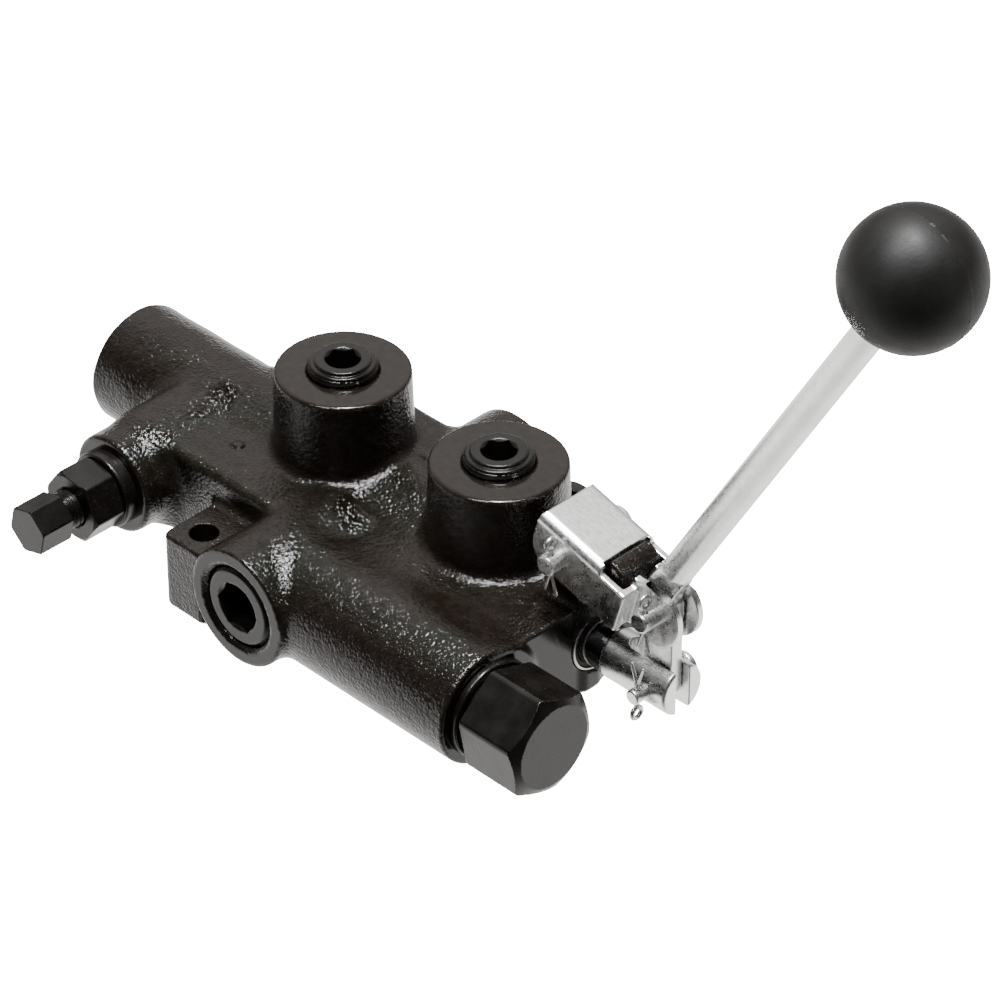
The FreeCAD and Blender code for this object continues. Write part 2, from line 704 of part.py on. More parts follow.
def spring_chamber():
    """Centering springs on both sides of a collar that the spool's stem carries."""
    seat_face = "(sizes.spring_shoulder - sizes.spring_seat_thickness)"
    seat_radii = ("sizes.spool_radius + 0.2", "sizes.spring_bore_radius")
    seat_corners = ring_corners("sizes.spring_seat_thickness", *seat_radii)
    sub_part(turned("spring_seat", seat_corners, (seat_face, 0, AXIS)), "spring_seat")
    collar_x = "(sizes.end_plug_face + %s) / 2" % seat_face
    right_face = "%s + sizes.collar_half_width" % collar_x
    left_face = "%s - sizes.collar_half_width" % collar_x
    collar_corners = [(left_face, 4.0), (right_face, 4.0), (right_face, 13), (left_face, 13)]
    collar = turned("spring_collar", collar_corners, (0, 0, AXIS))
    sub_part(collar, "spring_collar")
    stem = [("%s - 5" % left_face, 0), ("sizes.spool_left", 0), ("sizes.spool_left", 4.0), (left_face, 4.0)]
    stem += [(left_face, 6.5), ("%s - 5" % left_face, 6.5)]
    sub_part(turned("spring_stem", stem, (0, 0, AXIS)), "spring_stem")
    gaps = {
        "right": (right_face, "%s - (%s)" % (seat_face, right_face)),
        "left": ("sizes.end_plug_face", "%s - sizes.end_plug_face" % left_face),
    }
    for side, (start, gap) in gaps.items():
        label = "centering_spring_" + side
        spring = coil(label, "sizes.centering_coil_radius", "sizes.centering_wire_radius", gap, 3,
                      (start, 0, AXIS), "+X")
        sub_part(spring, label)


def barrel_end():
    at = ("sizes.barrel_left", 0, AXIS)
    length = "sizes.end_plug_face - sizes.barrel_left"
    bore = "sizes.spring_bore_radius"
    groove_start, groove_end, groove_floor = "%s - 3.6" % length, "%s - 1.2" % length, "%s - 1.8" % bore
    corners = [(0, 0), (length, 0), (length, bore), (groove_end, bore), (groove_end, groove_floor)]
    corners += [(groove_start, groove_floor), (groove_start, bore), (1, bore), (0, "%s - 1" % bore)]
    blank = turned("barrel_end_blank", corners, at)
    socket = hexagon("barrel_end_socket", 12.7, 3.5, at, "+X", 0)
    sub_part(cut("barrel_end_cut", blank, [socket]), "barrel_end_plug")
    ring_at = ("sizes.end_plug_face - 3.6", 0, AXIS)
    sub_part(turned("barrel_end_seal", ring_corners(2.4, groove_floor, bore), ring_at), "barrel_end_seal")


def spool_clevis():
    """Fork on the spool's tail: a slotted round bar with a cross hole for its pin."""
    length = "sizes.clevis_right - sizes.clevis_left"
    at = ("sizes.clevis_left", 0, AXIS)
    corners = [(0, 0), (length, 0), (length, "sizes.clevis_radius - 1")]
    corners += [("%s - 1" % length, "sizes.clevis_radius")]
    corners += [(0.6, "sizes.clevis_radius"), (0, "sizes.clevis_radius - 0.6")]
    bar = turned("clevis_bar", corners, at)
    slot_span = ("sizes.clevis_left + 6", "sizes.clevis_right + 1")
    slot_z = ("%s - sizes.clevis_radius - 1" % AXIS, "%s + sizes.clevis_radius + 1" % AXIS)
    half_gap = "(sizes.blade_half_thickness + 0.4)"
    slot = block("clevis_slot", slot_span, ("-%s" % half_gap, half_gap), slot_z)
    hole_at = (SPOOL_PIN[0], -10, SPOOL_PIN[2])
    pin_hole = cylinder("clevis_pin_hole", "sizes.spool_pin_radius", 20, hole_at, "+Y")
    sub_part(cut("clevis_cut", bar, [slot, pin_hole]), "spool_clevis")


# ---------------------------------------------------------------- link, pins and lever
def link_bracket():
    """Sheet-steel channel: wide over the lug, stepped in to a narrow fork at the lever."""
    half = "sizes.link_half_width"
    inner = "(sizes.link_half_width - sizes.sheet_thickness)"
    gap = "sizes.fork_half_gap"
    fork = "(sizes.fork_half_gap + sizes.sheet_thickness)"
    step = 24.4
    low, high = "sizes.link_bottom", "sizes.link_top"
    shell = block("link_shell", (-11.1, step), ("-" + half, half), (low, high))
    top = number(high) - 0.1
    shell = round_edges("link_bend", shell, 3.4, lambda e: is_along(e, "x") and middle(e).z > top)
    shell = round_edges("link_end", shell, 8.0, lambda e: is_along(e, "y") and middle(e).x < 0 > middle(e).z)
    fork_x = (step - 2.5, LINK_LENGTH)
    fork_plate = block("fork_plate", fork_x, ("-" + fork, fork), (low, "sizes.link_top - 0.4"))
    fork_at = (LINK_LENGTH, "-" + fork, 0)
    fork_round = cylinder("fork_round", "sizes.fork_radius", "2 * " + fork, fork_at, "+Y")
    tools = [
        block("link_hollow", (-12, "%s - sizes.sheet_thickness" % step), ("-" + inner, inner),
              ("%s - 1" % low, "%s - sizes.sheet_thickness" % high)),
        block("link_window", (15.9, "%s - sizes.sheet_thickness" % step), ("-" + inner, inner), (0, 12)),
        block("fork_gap", (15.9, 45), ("-" + gap, gap), (-15, 15)),
        cylinder("link_hole_lug", "sizes.pin_radius", 30, (0, -15, 0), "+Y"),
        cylinder("link_hole_fulcrum", "sizes.pin_radius", 30, (LINK_LENGTH, -15, 0), "+Y"),
    ]
    link = cut("link_cut", fuse("link_outside", [shell, fork_plate, fork_round]), tools)
    put(link, LUG_PIN, FreeCAD.Rotation(V(0, 1, 0), LINK_TILT))
    sub_part(link, "link_bracket")


def middle(edge):
    return edge.CenterOfMass


def is_along(edge, letter):
    """True for a straight edge that runs along one axis."""
    ends = [vertex.Point for vertex in edge.Vertexes]
    if len(ends) != 2:
        return False
    run = ends[1] - ends[0]
    return abs(abs(getattr(run, letter)) - run.Length) < 1e-6 and run.Length > 1e-6


def round_edges(name, base, radius, chosen):
    """A Part::Fillet over the edges of base that the function chosen picks."""
    doc.recompute()
    rounded = doc.addObject("Part::Fillet", name)
    rounded.Base = base
    picked = [i for i, edge in enumerate(base.Shape.Edges, 1) if chosen(edge)]
    rounded.Edges = [(i, radius, radius) for i in picked]
    return rounded


def clevis_pin(label, radius, near_y, far_y, head_radius, cotter_y, at):
    """A headed pin with its head at the back, and a cross hole for its cotter near the front end."""
    far, near = text(far_y), text(near_y)
    length = "%s - (%s)" % (far, near)
    corners = [(0, 0), ("%s + 2.2" % length, 0), ("%s + 2.2" % length, "%s - 0.6" % text(head_radius)),
               ("%s + 1.6" % length, head_radius), (length, head_radius), (length, radius), (0.7, radius),
               (0, "%s - 0.7" % text(radius))]
    shank = turned(label + "_shank", corners, (at[0], near_y, at[2]), "+Y")
    hole = cylinder(label + "_cross_hole", 0.9, 12, (at[0], cotter_y, "%s - 6" % at[2]))
    sub_part(cut(label + "_cut", shank, [hole]), label)


def cotter(label, at, leg_length, turn):
    """A cotter pin: an eye on one side of the clevis pin, a shank through it and two spread legs."""
    wire = 0.8
    eye_ring = cylinder(label + "_eye_ring", 2.6, 2 * wire, ("-%s" % wire, 0, 6.4), "+X")
    eye_hole = cylinder(label + "_eye_hole", 1.2, 4, (-2, 0, 6.4), "+X")
    eye = cut(label + "_eye", eye_ring, [eye_hole])
    shank = cylinder(label + "_shank", wire, 8.7, (0, 0, -4.1))
    legs = []
    for side in (-1, 1):
        leg = cylinder(label + "_leg_%d" % (side + 1), 0.6 * wire, leg_length, (0.3 * side, 0, -3.6))
        leg.Placement.Rotation = FreeCAD.Rotation(V(0, 1, 0), 180 - side * 16)
        legs.append(leg)
    whole = fuse(label + "_solid", [eye, shank] + legs)
    put(whole, at, FreeCAD.Rotation(V(1, 0, 0), turn))
    sub_part(whole, label)


def pins_and_cotters():
    thick, thin = "sizes.pin_radius", "sizes.spool_pin_radius"
    fork_back = "sizes.fork_half_gap + sizes.sheet_thickness"
    pins = [
        ("lug_pin", thick, -18.2, "sizes.link_half_width", 4.9, -15.6, LUG_PIN, 0),
        ("fulcrum_pin", thick, -10.8, fork_back, 4.9, -8.2, FULCRUM, 0),
        ("spool_pin", thin, -12.9, "sizes.clevis_radius + 0.1", 4.4, -10.6, SPOOL_PIN, 180),
    ]
    for label, radius, near_y, far_y, head_radius, cotter_y, at, turn in pins:
        clevis_pin(label, radius, near_y, far_y, head_radius, cotter_y, at)
        cotter(label.replace("_pin", "_cotter"), (at[0], cotter_y, at[2]), 7.5, turn)


def lever():
    """A flat blade, upright from the spool pin to the bend above the fulcrum, then the rod and its ball."""
    tilt = FreeCAD.Rotation(V(0, 1, 0), number("sizes.handle_tilt"))
    half = "sizes.blade_half_thickness"
    wide = "sizes.blade_half_width"
    tab_wide = "sizes.tab_half_width"
    thickness = "2 * " + half
    sides = ("%s - %s" % (FULCRUM[0], wide), "%s + %s" % (FULCRUM[0], wide))
    rim = ("%s - %s" % (FULCRUM[0], tab_wide), "%s + %s" % (FULCRUM[0], tab_wide))
    span = ("-" + half, half)
    lower = block("blade_lower", sides, span, (AXIS, "sizes.fulcrum_z + sizes.blade_half_width"))
    upper = block("blade_upper", rim, span, (FULCRUM[2], BEND[2]))
    knee = cylinder("blade_knee", tab_wide, thickness, (BEND[0], "-" + half, BEND[2]), "+Y")
    plate = block("blade_plate", ("-" + tab_wide, tab_wide), span, (0, "sizes.tab_length - 1"))
    tip = block("blade_tip", ("0.9 - " + tab_wide, tab_wide + " - 0.9"), span, (2, "sizes.tab_length"))
    tab = put(fuse("blade_tab", [plate, tip]), BEND, tilt)
    foot = cylinder("blade_foot", wide, thickness, (SPOOL_PIN[0], "-" + half, SPOOL_PIN[2]), "+Y")
    fulcrum_radius = "sizes.pin_radius + sizes.pin_clearance"
    holes = [
        cylinder("blade_fulcrum_hole", fulcrum_radius, 10, (FULCRUM[0], -5, FULCRUM[2]), "+Y"),
        cylinder("blade_foot_hole", "sizes.foot_hole_radius", 10, (SPOOL_PIN[0], -5, SPOOL_PIN[2]), "+Y"),
    ]
    sub_part(cut("blade_cut", fuse("blade_outside", [lower, upper, knee, tab, foot]), holes), "lever_blade")
    rod_end = "sizes.handle_length - 8"
    rod = turned(
        "lever_rod",
        [
            ("sizes.tab_length", 0),
            (rod_end, 0),
            (rod_end, "sizes.rod_radius"),
            ("sizes.tab_length", "sizes.rod_radius"),
        ],
        BEND,
    )
    sub_part(put(rod, BEND, tilt.multiply(TURNED["+Z"])), "lever_rod")
    knob(tilt)


def knob(tilt):
    ball = doc.addObject("Part::Sphere", "ball")
    ball.setExpression("Radius", "sizes.ball_radius")
    put(ball, (0, 0, "sizes.handle_length"), FreeCAD.Rotation())
    bore_start = "sizes.handle_length - sizes.ball_radius - 5"
    bore_length = "sizes.ball_radius - 3"
    tools = [
        cylinder("ball_bore", "sizes.rod_radius", bore_length, (0, 0, bore_start)),
        cylinder("ball_flat", 12, 5.6, (0, 0, bore_start)),
    ]
    grip = cut("ball_cut", ball, tools)
    sub_part(put(grip, BEND, tilt), "ball_knob")


def build():
    valve_body()
    port_plugs()
    gallery_plug()
    load_check()
    relief_valve()
    spool()
    spool_seals()
    spring_chamber()
    barrel_end()
    spool_clevis()
    link_bracket()
    pins_and_cotters()
    lever()


def check_and_write():
    doc.recompute()
    for item in doc.Objects:
        if "Invalid" in item.State or "Error" in item.State:
            raise RuntimeError("%s (%s) failed: %s" % (item.Name, item.Label, item.State))
    os.makedirs("parts", exist_ok=True)
    for piece in PARTS:
        shape = piece.Shape
        if shape.isNull() or not shape.isValid():
            raise RuntimeError("%s has no valid shape" % piece.Label)
        shape.exportStep("parts/%s.step" % piece.Label)
        print("%-26s solids %d  volume %.1f" % (piece.Label, len(shape.Solids), shape.Volume))


build()
check_and_write()
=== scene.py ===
import json
import math

import bpy
import numpy as np
from mathutils import Matrix, Vector

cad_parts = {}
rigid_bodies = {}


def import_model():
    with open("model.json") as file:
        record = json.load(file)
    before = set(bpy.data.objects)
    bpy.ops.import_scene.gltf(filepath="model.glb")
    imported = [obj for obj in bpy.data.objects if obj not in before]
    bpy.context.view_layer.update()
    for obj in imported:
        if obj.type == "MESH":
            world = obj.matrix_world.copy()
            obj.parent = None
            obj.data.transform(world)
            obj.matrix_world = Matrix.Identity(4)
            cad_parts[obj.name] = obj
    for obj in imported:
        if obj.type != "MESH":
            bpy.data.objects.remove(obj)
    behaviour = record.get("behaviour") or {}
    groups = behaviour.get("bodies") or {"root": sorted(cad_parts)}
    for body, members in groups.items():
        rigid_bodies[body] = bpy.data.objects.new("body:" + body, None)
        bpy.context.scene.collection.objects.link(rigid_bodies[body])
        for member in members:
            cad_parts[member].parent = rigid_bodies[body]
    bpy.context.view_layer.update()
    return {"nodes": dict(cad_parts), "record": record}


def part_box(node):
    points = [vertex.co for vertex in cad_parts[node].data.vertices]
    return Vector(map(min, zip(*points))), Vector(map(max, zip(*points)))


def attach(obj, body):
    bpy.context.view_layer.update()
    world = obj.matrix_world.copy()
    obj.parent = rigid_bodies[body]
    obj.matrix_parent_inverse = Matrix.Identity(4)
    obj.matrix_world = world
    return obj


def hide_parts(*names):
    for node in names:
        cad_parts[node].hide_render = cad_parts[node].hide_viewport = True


MM = 0.001
FLARE = 0.7  # turns the sum of two distances across a 45 degree cone into a distance

for leftover in list(bpy.data.objects):
    bpy.data.objects.remove(leftover)
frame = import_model()


# ---------------------------------------------------------------- solid shapes as distance fields
def disc(u, v, radius):
    return np.hypot(u, v) - radius


def slab(w, low, high):
    return np.abs(w - (low + high) / 2) - (high - low) / 2


def bounded(*fields, edge=0.0):
    """The overlap of fields, its sharp edges rounded to a radius of edge."""
    fields = [f + edge for f in fields]
    outside = sum(np.maximum(f, 0) ** 2 for f in fields)
    inside = fields[0]
    for f in fields[1:]:
        inside = np.maximum(inside, f)
    return np.minimum(inside, 0) + np.sqrt(outside) - edge


def joined(a, b, fillet):
    """Both solids, with a fillet in the corner between them."""
    corner = np.hypot(np.maximum(fillet - a, 0), np.maximum(fillet - b, 0))
    return np.maximum(fillet, np.minimum(a, b)) - corner


def cut(a, tool, edge=0.3):
    return bounded(a, -tool, edge=edge)


def box_field(x, y, z, x_span, y_span, z_span, edge):
    return bounded(slab(x, *x_span), slab(y, *y_span), slab(z, *z_span), edge=edge)


def bar(u, v, w, radius, low, high, edge):
    """A round bar along w with rounded rims."""
    return bounded(disc(u, v, radius), slab(w, low, high), edge=edge)


def hexagon(u, v, flats, first_corner, edge=0.0):
    """A hexagonal prism along w. first_corner is the angle of one corner from +u, in degrees."""
    sides = []
    for k in range(3):
        angle = math.radians(first_corner + 30 + 60 * k)
        sides.append(slab(u * math.cos(angle) + v * math.sin(angle), -flats / 2, flats / 2))
    return bounded(*sides, edge=edge)


def cone_field(u, v, w, radius, at, slope):
    """A cone along w with this radius at w = at, which narrows by slope per millimetre of w."""
    return (np.hypot(u, v) - radius + slope * (w - at)) / math.hypot(1, slope)


def threaded(u, v, w, radius, pitch, depth):
    """A screw thread: a bar whose radius rises and falls along a right-handed helix."""
    flank_slope = 0.8
    phase = (w / pitch - np.arctan2(v, u) / (2 * math.pi)) % 1.0
    ridge = 1 - 2 * np.abs(phase - 0.5)
    return flank_slope * (np.hypot(u, v) - radius + depth * (1 - ridge))


def flared(bore, depth):
    """A bore whose mouth opens at 45 degrees; depth is how far a point lies below the flare's start."""
    return np.minimum(bore, (bore + depth) * FLARE)


# ---------------------------------------------------------------- meshes from fields
CORNERS = [(i, j, k) for i in (0, 1) for j in (0, 1) for k in (0, 1)]


def shifted(grid, corner):
    """The view of a grid whose cell corners lie at this corner of each cell."""
    i, j, k = corner
    n = [s - 1 for s in grid.shape]
    return grid[i:n[0] + i, j:n[1] + j, k:n[2] + k]


def surface_net(values, low, cell):
    """One point in every cell that the surface crosses, and a quad around every crossed edge."""
    inside = values < 0
    count = sum(shifted(inside, c).astype(np.int8) for c in CORNERS)
    mixed = (count > 0) & (count < 8)
    at = np.argwhere(mixed)
    index = np.full(mixed.shape, -1)
    index[mixed] = np.arange(len(at))
    total = np.zeros((len(at), 3))
    hits = np.zeros(len(at))
    for corner in CORNERS:
        for axis in range(3):
            if corner[axis]:
                continue
            a = np.array(corner)
            step = np.eye(3, dtype=int)[axis]
            fa = values[tuple((at + a).T)]
            fb = values[tuple((at + a + step).T)]
            crossed = (fa < 0) != (fb < 0)
            share = np.where(crossed, fa / np.where(crossed, fa - fb, 1), 0)
            total += crossed[:, None] * (a + share[:, None] * step)
            hits += crossed
    points = low + cell * (at + total / hits[:, None])
    return points, np.concatenate([edge_quads(inside, index, axis) for axis in range(3)])


def edge_quads(inside, index, axis):
    """The quads around the grid edges along one axis that cross the surface."""
    u, v = (axis + 1) % 3, (axis + 2) % 3
    low, high = [slice(1, -1)] * 3, [slice(1, -1)] * 3
    low[axis], high[axis] = slice(0, -1), slice(1, None)
    starts, ends = inside[tuple(low)], inside[tuple(high)]
    crossed = np.argwhere(starts != ends)
    outward = starts[tuple(crossed.T)]
    base = crossed.copy()
    base[:, u] += 1
    base[:, v] += 1
    du, dv = np.eye(3, dtype=int)[u], np.eye(3, dtype=int)[v]
    around = [base - du - dv, base - dv, base, base - du]
    quads = np.stack([index[tuple(cells.T)] for cells in around], 1)
    quads[~outward] = quads[~outward][:, ::-1]
    return quads


def slope_of(field, points, reach):
    """The field's gradient at points, from small steps each way."""
    columns = []
    for axis in range(3):
        step = reach * np.eye(3)[axis]
        ahead = field(*(points + step).T)
        behind = field(*(points - step).T)
        columns.append((ahead - behind) / (2 * reach))
    return np.stack(columns, 1)


def settled(field, points, cell):
    """Points moved onto the field's zero surface, never further than a cell a round."""
    rounds, reach, damping, least_square = 4, 0.02, 0.9, 0.25
    for _ in range(rounds):
        slope = slope_of(field, points, reach)
        square = np.maximum((slope ** 2).sum(1), least_square)
        move = -(damping * field(*points.T) / square)[:, None] * slope
        length = np.linalg.norm(move, axis=1, keepdims=True)
        points = points + move * np.minimum(1, cell / np.maximum(length, 1e-9))
    return points


def carve(name, field, low, high, cell, place=Matrix()):
    """A closed, smooth-shaded mesh of a field's surface. place moves its own axes into the scene's."""
    margin = 2.3 * cell
    low = np.array(low, float) - margin
    counts = np.ceil((np.array(high, float) + margin - low) / cell).astype(int) + 1
    x, y, z = [low[i] + cell * np.arange(counts[i]) for i in range(3)]
    values = np.broadcast_to(field(x[:, None, None], y[None, :, None], z[None, None, :]), counts)
    points, quads = surface_net(values, low, cell)
    points = settled(field, points, cell)
    normals = slope_of(field, points, 0.12 * cell)
    piece = mesh_object(name, points * MM, quads)
    normals /= np.maximum(np.linalg.norm(normals, axis=1, keepdims=True), 1e-9)
    piece.data.normals_split_custom_set_from_vertices(normals.astype(np.float32))
    piece.data.transform(place)
    return piece


def mesh_object(name, points, quads):
    mesh = bpy.data.meshes.new(name)
    mesh.vertices.add(len(points))
    mesh.vertices.foreach_set("co", points.astype(np.float32).ravel())
    mesh.loops.add(4 * len(quads))
    mesh.loops.foreach_set("vertex_index", quads.astype(np.int32).ravel())
    mesh.polygons.add(len(quads))
    mesh.polygons.foreach_set("loop_start", np.arange(0, 4 * len(quads), 4, dtype=np.int32))
    mesh.update(calc_edges=True)
    mesh.polygons.foreach_set("use_smooth", [True] * len(quads))
    piece = bpy.data.objects.new(name, mesh)
    bpy.context.scene.collection.objects.link(piece)
    return piece


# ---------------------------------------------------------------- places, read from the CAD nodes
AXES = {
    "+X": ((0, 1, 0), (0, 0, 1), (1, 0, 0)),
    "-X": ((0, 0, 1), (0, 1, 0), (-1, 0, 0)),
    "+Y": ((0, 0, 1), (1, 0, 0), (0, 1, 0)),
    "-Y": ((1, 0, 0), (0, 0, 1), (0, -1, 0)),
    "+Z": ((1, 0, 0), (0, 1, 0), (0, 0, 1)),
    "-Z": ((1, 0, 0), (0, -1, 0), (0, 0, -1)),
}


def placed(origin, axes):
    """A matrix that puts a piece's own u, v, w along three axes at an origin in millimetres."""
    turn = Matrix([list(axis) for axis in axes]).transposed().to_4x4()
    return Matrix.Translation(Vector(origin) * MM) @ turn


def span(node):
    low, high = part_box(node)
    return np.array(low) / MM, np.array(high) / MM


def middle(node):
    low, high = span(node)
    return (low + high) / 2


def tilted(angle):
    """Axes of a piece that lies along a line tilted down from +X by an angle, in degrees."""
    c, s = math.cos(math.radians(angle)), math.sin(math.radians(angle))
    return ((c, 0, -s), (0, 1, 0), (s, 0, c))


AXIS_Z = middle("spool")[2]
LUG = middle("lug_pin")
FULCRUM = middle("fulcrum_pin")
FOOT_PIN = middle("spool_pin")
BALL = middle("ball_knob")
GALLERY = middle("gallery_plug")
RELIEF_X = middle("relief_lock_nut")[0]
SIDE_PORT_X = middle("side_port_plug")[0]
WORK_PORTS = [middle("work_port_plug_" + key)[0] for key in "ab"]
BODY_LOW, BODY_HIGH = span("valve_body")
PLUG_PROUD = 4.0
BOSS_TOP = span("work_port_plug_a")[1][2] - PLUG_PROUD
BODY_RIGHT = span("gallery_plug_washer")[0][0]
FLANGE_THICKNESS = 4.5
NECK_FACE = span("relief_cartridge")[0][1] + FLANGE_THICKNESS
LINK_TILT = math.degrees(math.atan2(LUG[2] - FULCRUM[2], FULCRUM[0] - LUG[0]))
LINK_LENGTH = math.hypot(LUG[2] - FULCRUM[2], FULCRUM[0] - LUG[0])
BEND_Z = 53.0
HANDLE_TILT = math.degrees(math.atan2(BALL[0] - FULCRUM[0], BALL[2] - BEND_Z))
HANDLE_LENGTH = math.hypot(BALL[0] - FULCRUM[0], BALL[2] - BEND_Z)


# ---------------------------------------------------------------- materials
def blank_material(name):
    material = bpy.data.materials.new(name)
    material.use_nodes = True
    tree = material.node_tree
    tree.nodes.clear()
    output = tree.nodes.new("ShaderNodeOutputMaterial")
    shader = tree.nodes.new("ShaderNodeBsdfPrincipled")
    tree.links.new(shader.outputs["BSDF"], output.inputs["Surface"])
    return material, tree, shader


def speckle(tree, scale, detail=3.0, stretch=(1, 1, 1)):
    """Noise in the object's own coordinates, as a value around 0.5."""
    place = tree.nodes.new("ShaderNodeTexCoord")
    mapping = tree.nodes.new("ShaderNodeMapping")
    mapping.inputs["Scale"].default_value = stretch
    noise = tree.nodes.new("ShaderNodeTexNoise")
    noise.inputs["Scale"].default_value = scale
    noise.inputs["Detail"].default_value = detail
    tree.links.new(place.outputs["Object"], mapping.inputs["Vector"])
    tree.links.new(mapping.outputs["Vector"], noise.inputs["Vector"])
    return noise.outputs["Fac"]


def ranged(tree, value, low, high, start=0.3, end=0.7):
    """A value mapped from start..end to low..high."""
    node = tree.nodes.new("ShaderNodeMapRange")
    node.inputs["From Min"].default_value = start
    node.inputs["From Max"].default_value = end
    node.inputs["To Min"].default_value = low
    node.inputs["To Max"].default_value = high
    tree.links.new(value, node.inputs["Value"])
    return node.outputs["Result"]


def math_node(tree, operation, a, b):
    node = tree.nodes.new("ShaderNodeMath")
    node.operation = operation
    for socket, value in zip(node.inputs, (a, b)):
        if isinstance(value, (int, float)):
            socket.default_value = value
        else:
            tree.links.new(value, socket)
    return node.outputs["Value"]


def bump(tree, height, distance, strength, below=None):
    """A bump node; distance is in metres."""
    node = tree.nodes.new("ShaderNodeBump")
    node.inputs["Distance"].default_value = distance
    tree.links.new(height, node.inputs["Height"])
    if isinstance(strength, float):
        node.inputs["Strength"].default_value = strength
    else:
        tree.links.new(strength, node.inputs["Strength"])
    if below is not None:
        tree.links.new(below, node.inputs["Normal"])
    return node.outputs["Normal"]


def blended(tree, factor, first, second):
    node = tree.nodes.new("ShaderNodeMix")
    node.data_type = "RGBA"
    node.inputs["A"].default_value = (*first, 1)
    node.inputs["B"].default_value = (*second, 1)
    tree.links.new(factor, node.inputs["Factor"])
    return node.outputs["Result"]


def cast_paint():
    """Glossy black paint over sand-cast iron: grainy where cast, smooth where machined."""
    material, tree, shader = blank_material("cast_black")
    machined = tree.nodes.new("ShaderNodeAttribute")
    machined.attribute_name = "machined"
    rough_skin = math_node(tree, "SUBTRACT", 1.0, machined.outputs["Fac"])
    grain = speckle(tree, 1000.0, 2.0)
    pits = speckle(tree, 380.0, 2.0)
    height = math_node(tree, "ADD", grain, math_node(tree, "MULTIPLY", pits, 0.6))
    strength = math_node(tree, "ADD", math_node(tree, "MULTIPLY", rough_skin, 0.9), 0.04)
    normal = bump(tree, height, 0.0004, strength)
    tree.links.new(normal, shader.inputs["Normal"])
    tree.links.new(ranged(tree, speckle(tree, 90.0), 0.1, 0.17), shader.inputs["Roughness"])
    dark, light = (0.0045, 0.0031, 0.0022), (0.0095, 0.0072, 0.0055)
    colour = blended(tree, ranged(tree, pits, 0.0, 1.0), dark, light)
    tree.links.new(colour, shader.inputs["Base Color"])
    shader.inputs["Specular IOR Level"].default_value = 0.36
    return material


def satin_black(name, dark, light, roughness, grain, specular):
    """Black paint on a machined part, a little uneven."""
    material, tree, shader = blank_material(name)
    cloud = speckle(tree, 140.0)
    tree.links.new(blended(tree, ranged(tree, cloud, 0.0, 1.0), dark, light), shader.inputs["Base Color"])
    tree.links.new(ranged(tree, cloud, roughness - 0.05, roughness + 0.07), shader.inputs["Roughness"])
    normal = bump(tree, speckle(tree, 900.0, 2.0), 0.0002, grain)
    tree.links.new(normal, shader.inputs["Normal"])
    shader.inputs["Specular IOR Level"].default_value = specular
    return material


def bright_metal(name, dark, light, roughness, stretch, brushing):
    """Plated or polished metal with fine marks stretched along one axis."""
    material, tree, shader = blank_material(name)
    marks = speckle(tree, 500.0, 3.0, stretch)
    cloud = speckle(tree, 60.0)
    tree.links.new(blended(tree, ranged(tree, cloud, 0.0, 1.0), dark, light), shader.inputs["Base Color"])
    tree.links.new(ranged(tree, marks, roughness - 0.05, roughness + 0.08), shader.inputs["Roughness"])
    tree.links.new(bump(tree, marks, 0.00006, brushing), shader.inputs["Normal"])
    shader.inputs["Metallic"].default_value = 1.0
    return material


EVEN, AROUND, LENGTHWISE = (1, 1, 1), (1, 6, 1), (8, 1, 1)
WARM_BLACK = (0.0022, 0.0016, 0.0012), (0.005, 0.004, 0.0034)
KNOB_BLACK = (0.0040, 0.0038, 0.0036), (0.006, 0.0056, 0.0054)
RUBBER = (0.012, 0.012, 0.012), (0.022, 0.022, 0.022)
ZINC = (0.78, 0.79, 0.78), (0.9, 0.91, 0.9)
WIRE = (0.6, 0.6, 0.58), (0.78, 0.78, 0.76)
CHROME = (0.62, 0.63, 0.65), (0.72, 0.73, 0.75)
SPRING = (0.22, 0.22, 0.23), (0.34, 0.34, 0.35)
CREAM = (0.42, 0.41, 0.36), (0.6, 0.58, 0.52)

MATERIALS = {
    "cast_black": cast_paint(),
    "plug_black": satin_black("plug_black", *WARM_BLACK, roughness=0.26, grain=0.15, specular=0.36),
    "zinc_bright": bright_metal("zinc_bright", *ZINC, roughness=0.28, stretch=AROUND, brushing=0.2),
    "cotter_wire": bright_metal("cotter_wire", *WIRE, roughness=0.28, stretch=EVEN, brushing=0.3),
    "spool_chrome": bright_metal("spool_chrome", *CHROME, roughness=0.12, stretch=LENGTHWISE, brushing=0.1),
    "spring_steel": bright_metal("spring_steel", *SPRING, roughness=0.32, stretch=EVEN, brushing=0.2),
    "seal_rubber": satin_black("seal_rubber", *RUBBER, roughness=0.7, grain=0.3, specular=0.5),
    "wiper": bright_metal("wiper", *CREAM, roughness=0.3, stretch=EVEN, brushing=0.2),
    "knob_black": satin_black("knob_black", *KNOB_BLACK, roughness=0.5, grain=0.2, specular=0.25),
}


def finished(piece, node, slot_name):
    """Give a piece its material, hide its CAD node and let it ride on that node's body."""
    piece.data.materials.clear()
    piece.data.materials.append(MATERIALS[slot_name])
    bodies = frame["record"]["behaviour"]["bodies"]
    home = next(name for name, nodes in bodies.items() if node in nodes)
    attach(piece, home)
    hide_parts(node)
    return piece


# ---------------------------------------------------------------- casting
WEB_LOW, WEB_TOP = 4.0, 35.5
BARREL_RADIUS, NECK_RADIUS = 19.5, 16.0
BOSS_RADIUS, BOSS_DRAFT = 21.6, 0.03
GALLERY_RADIUS = 18.7
SIDE_BOSS_RADIUS, SIDE_FACE = 19.2, -64.5
REAR_BOSS_RADIUS, REAR_FACE = 18.5, 45.0
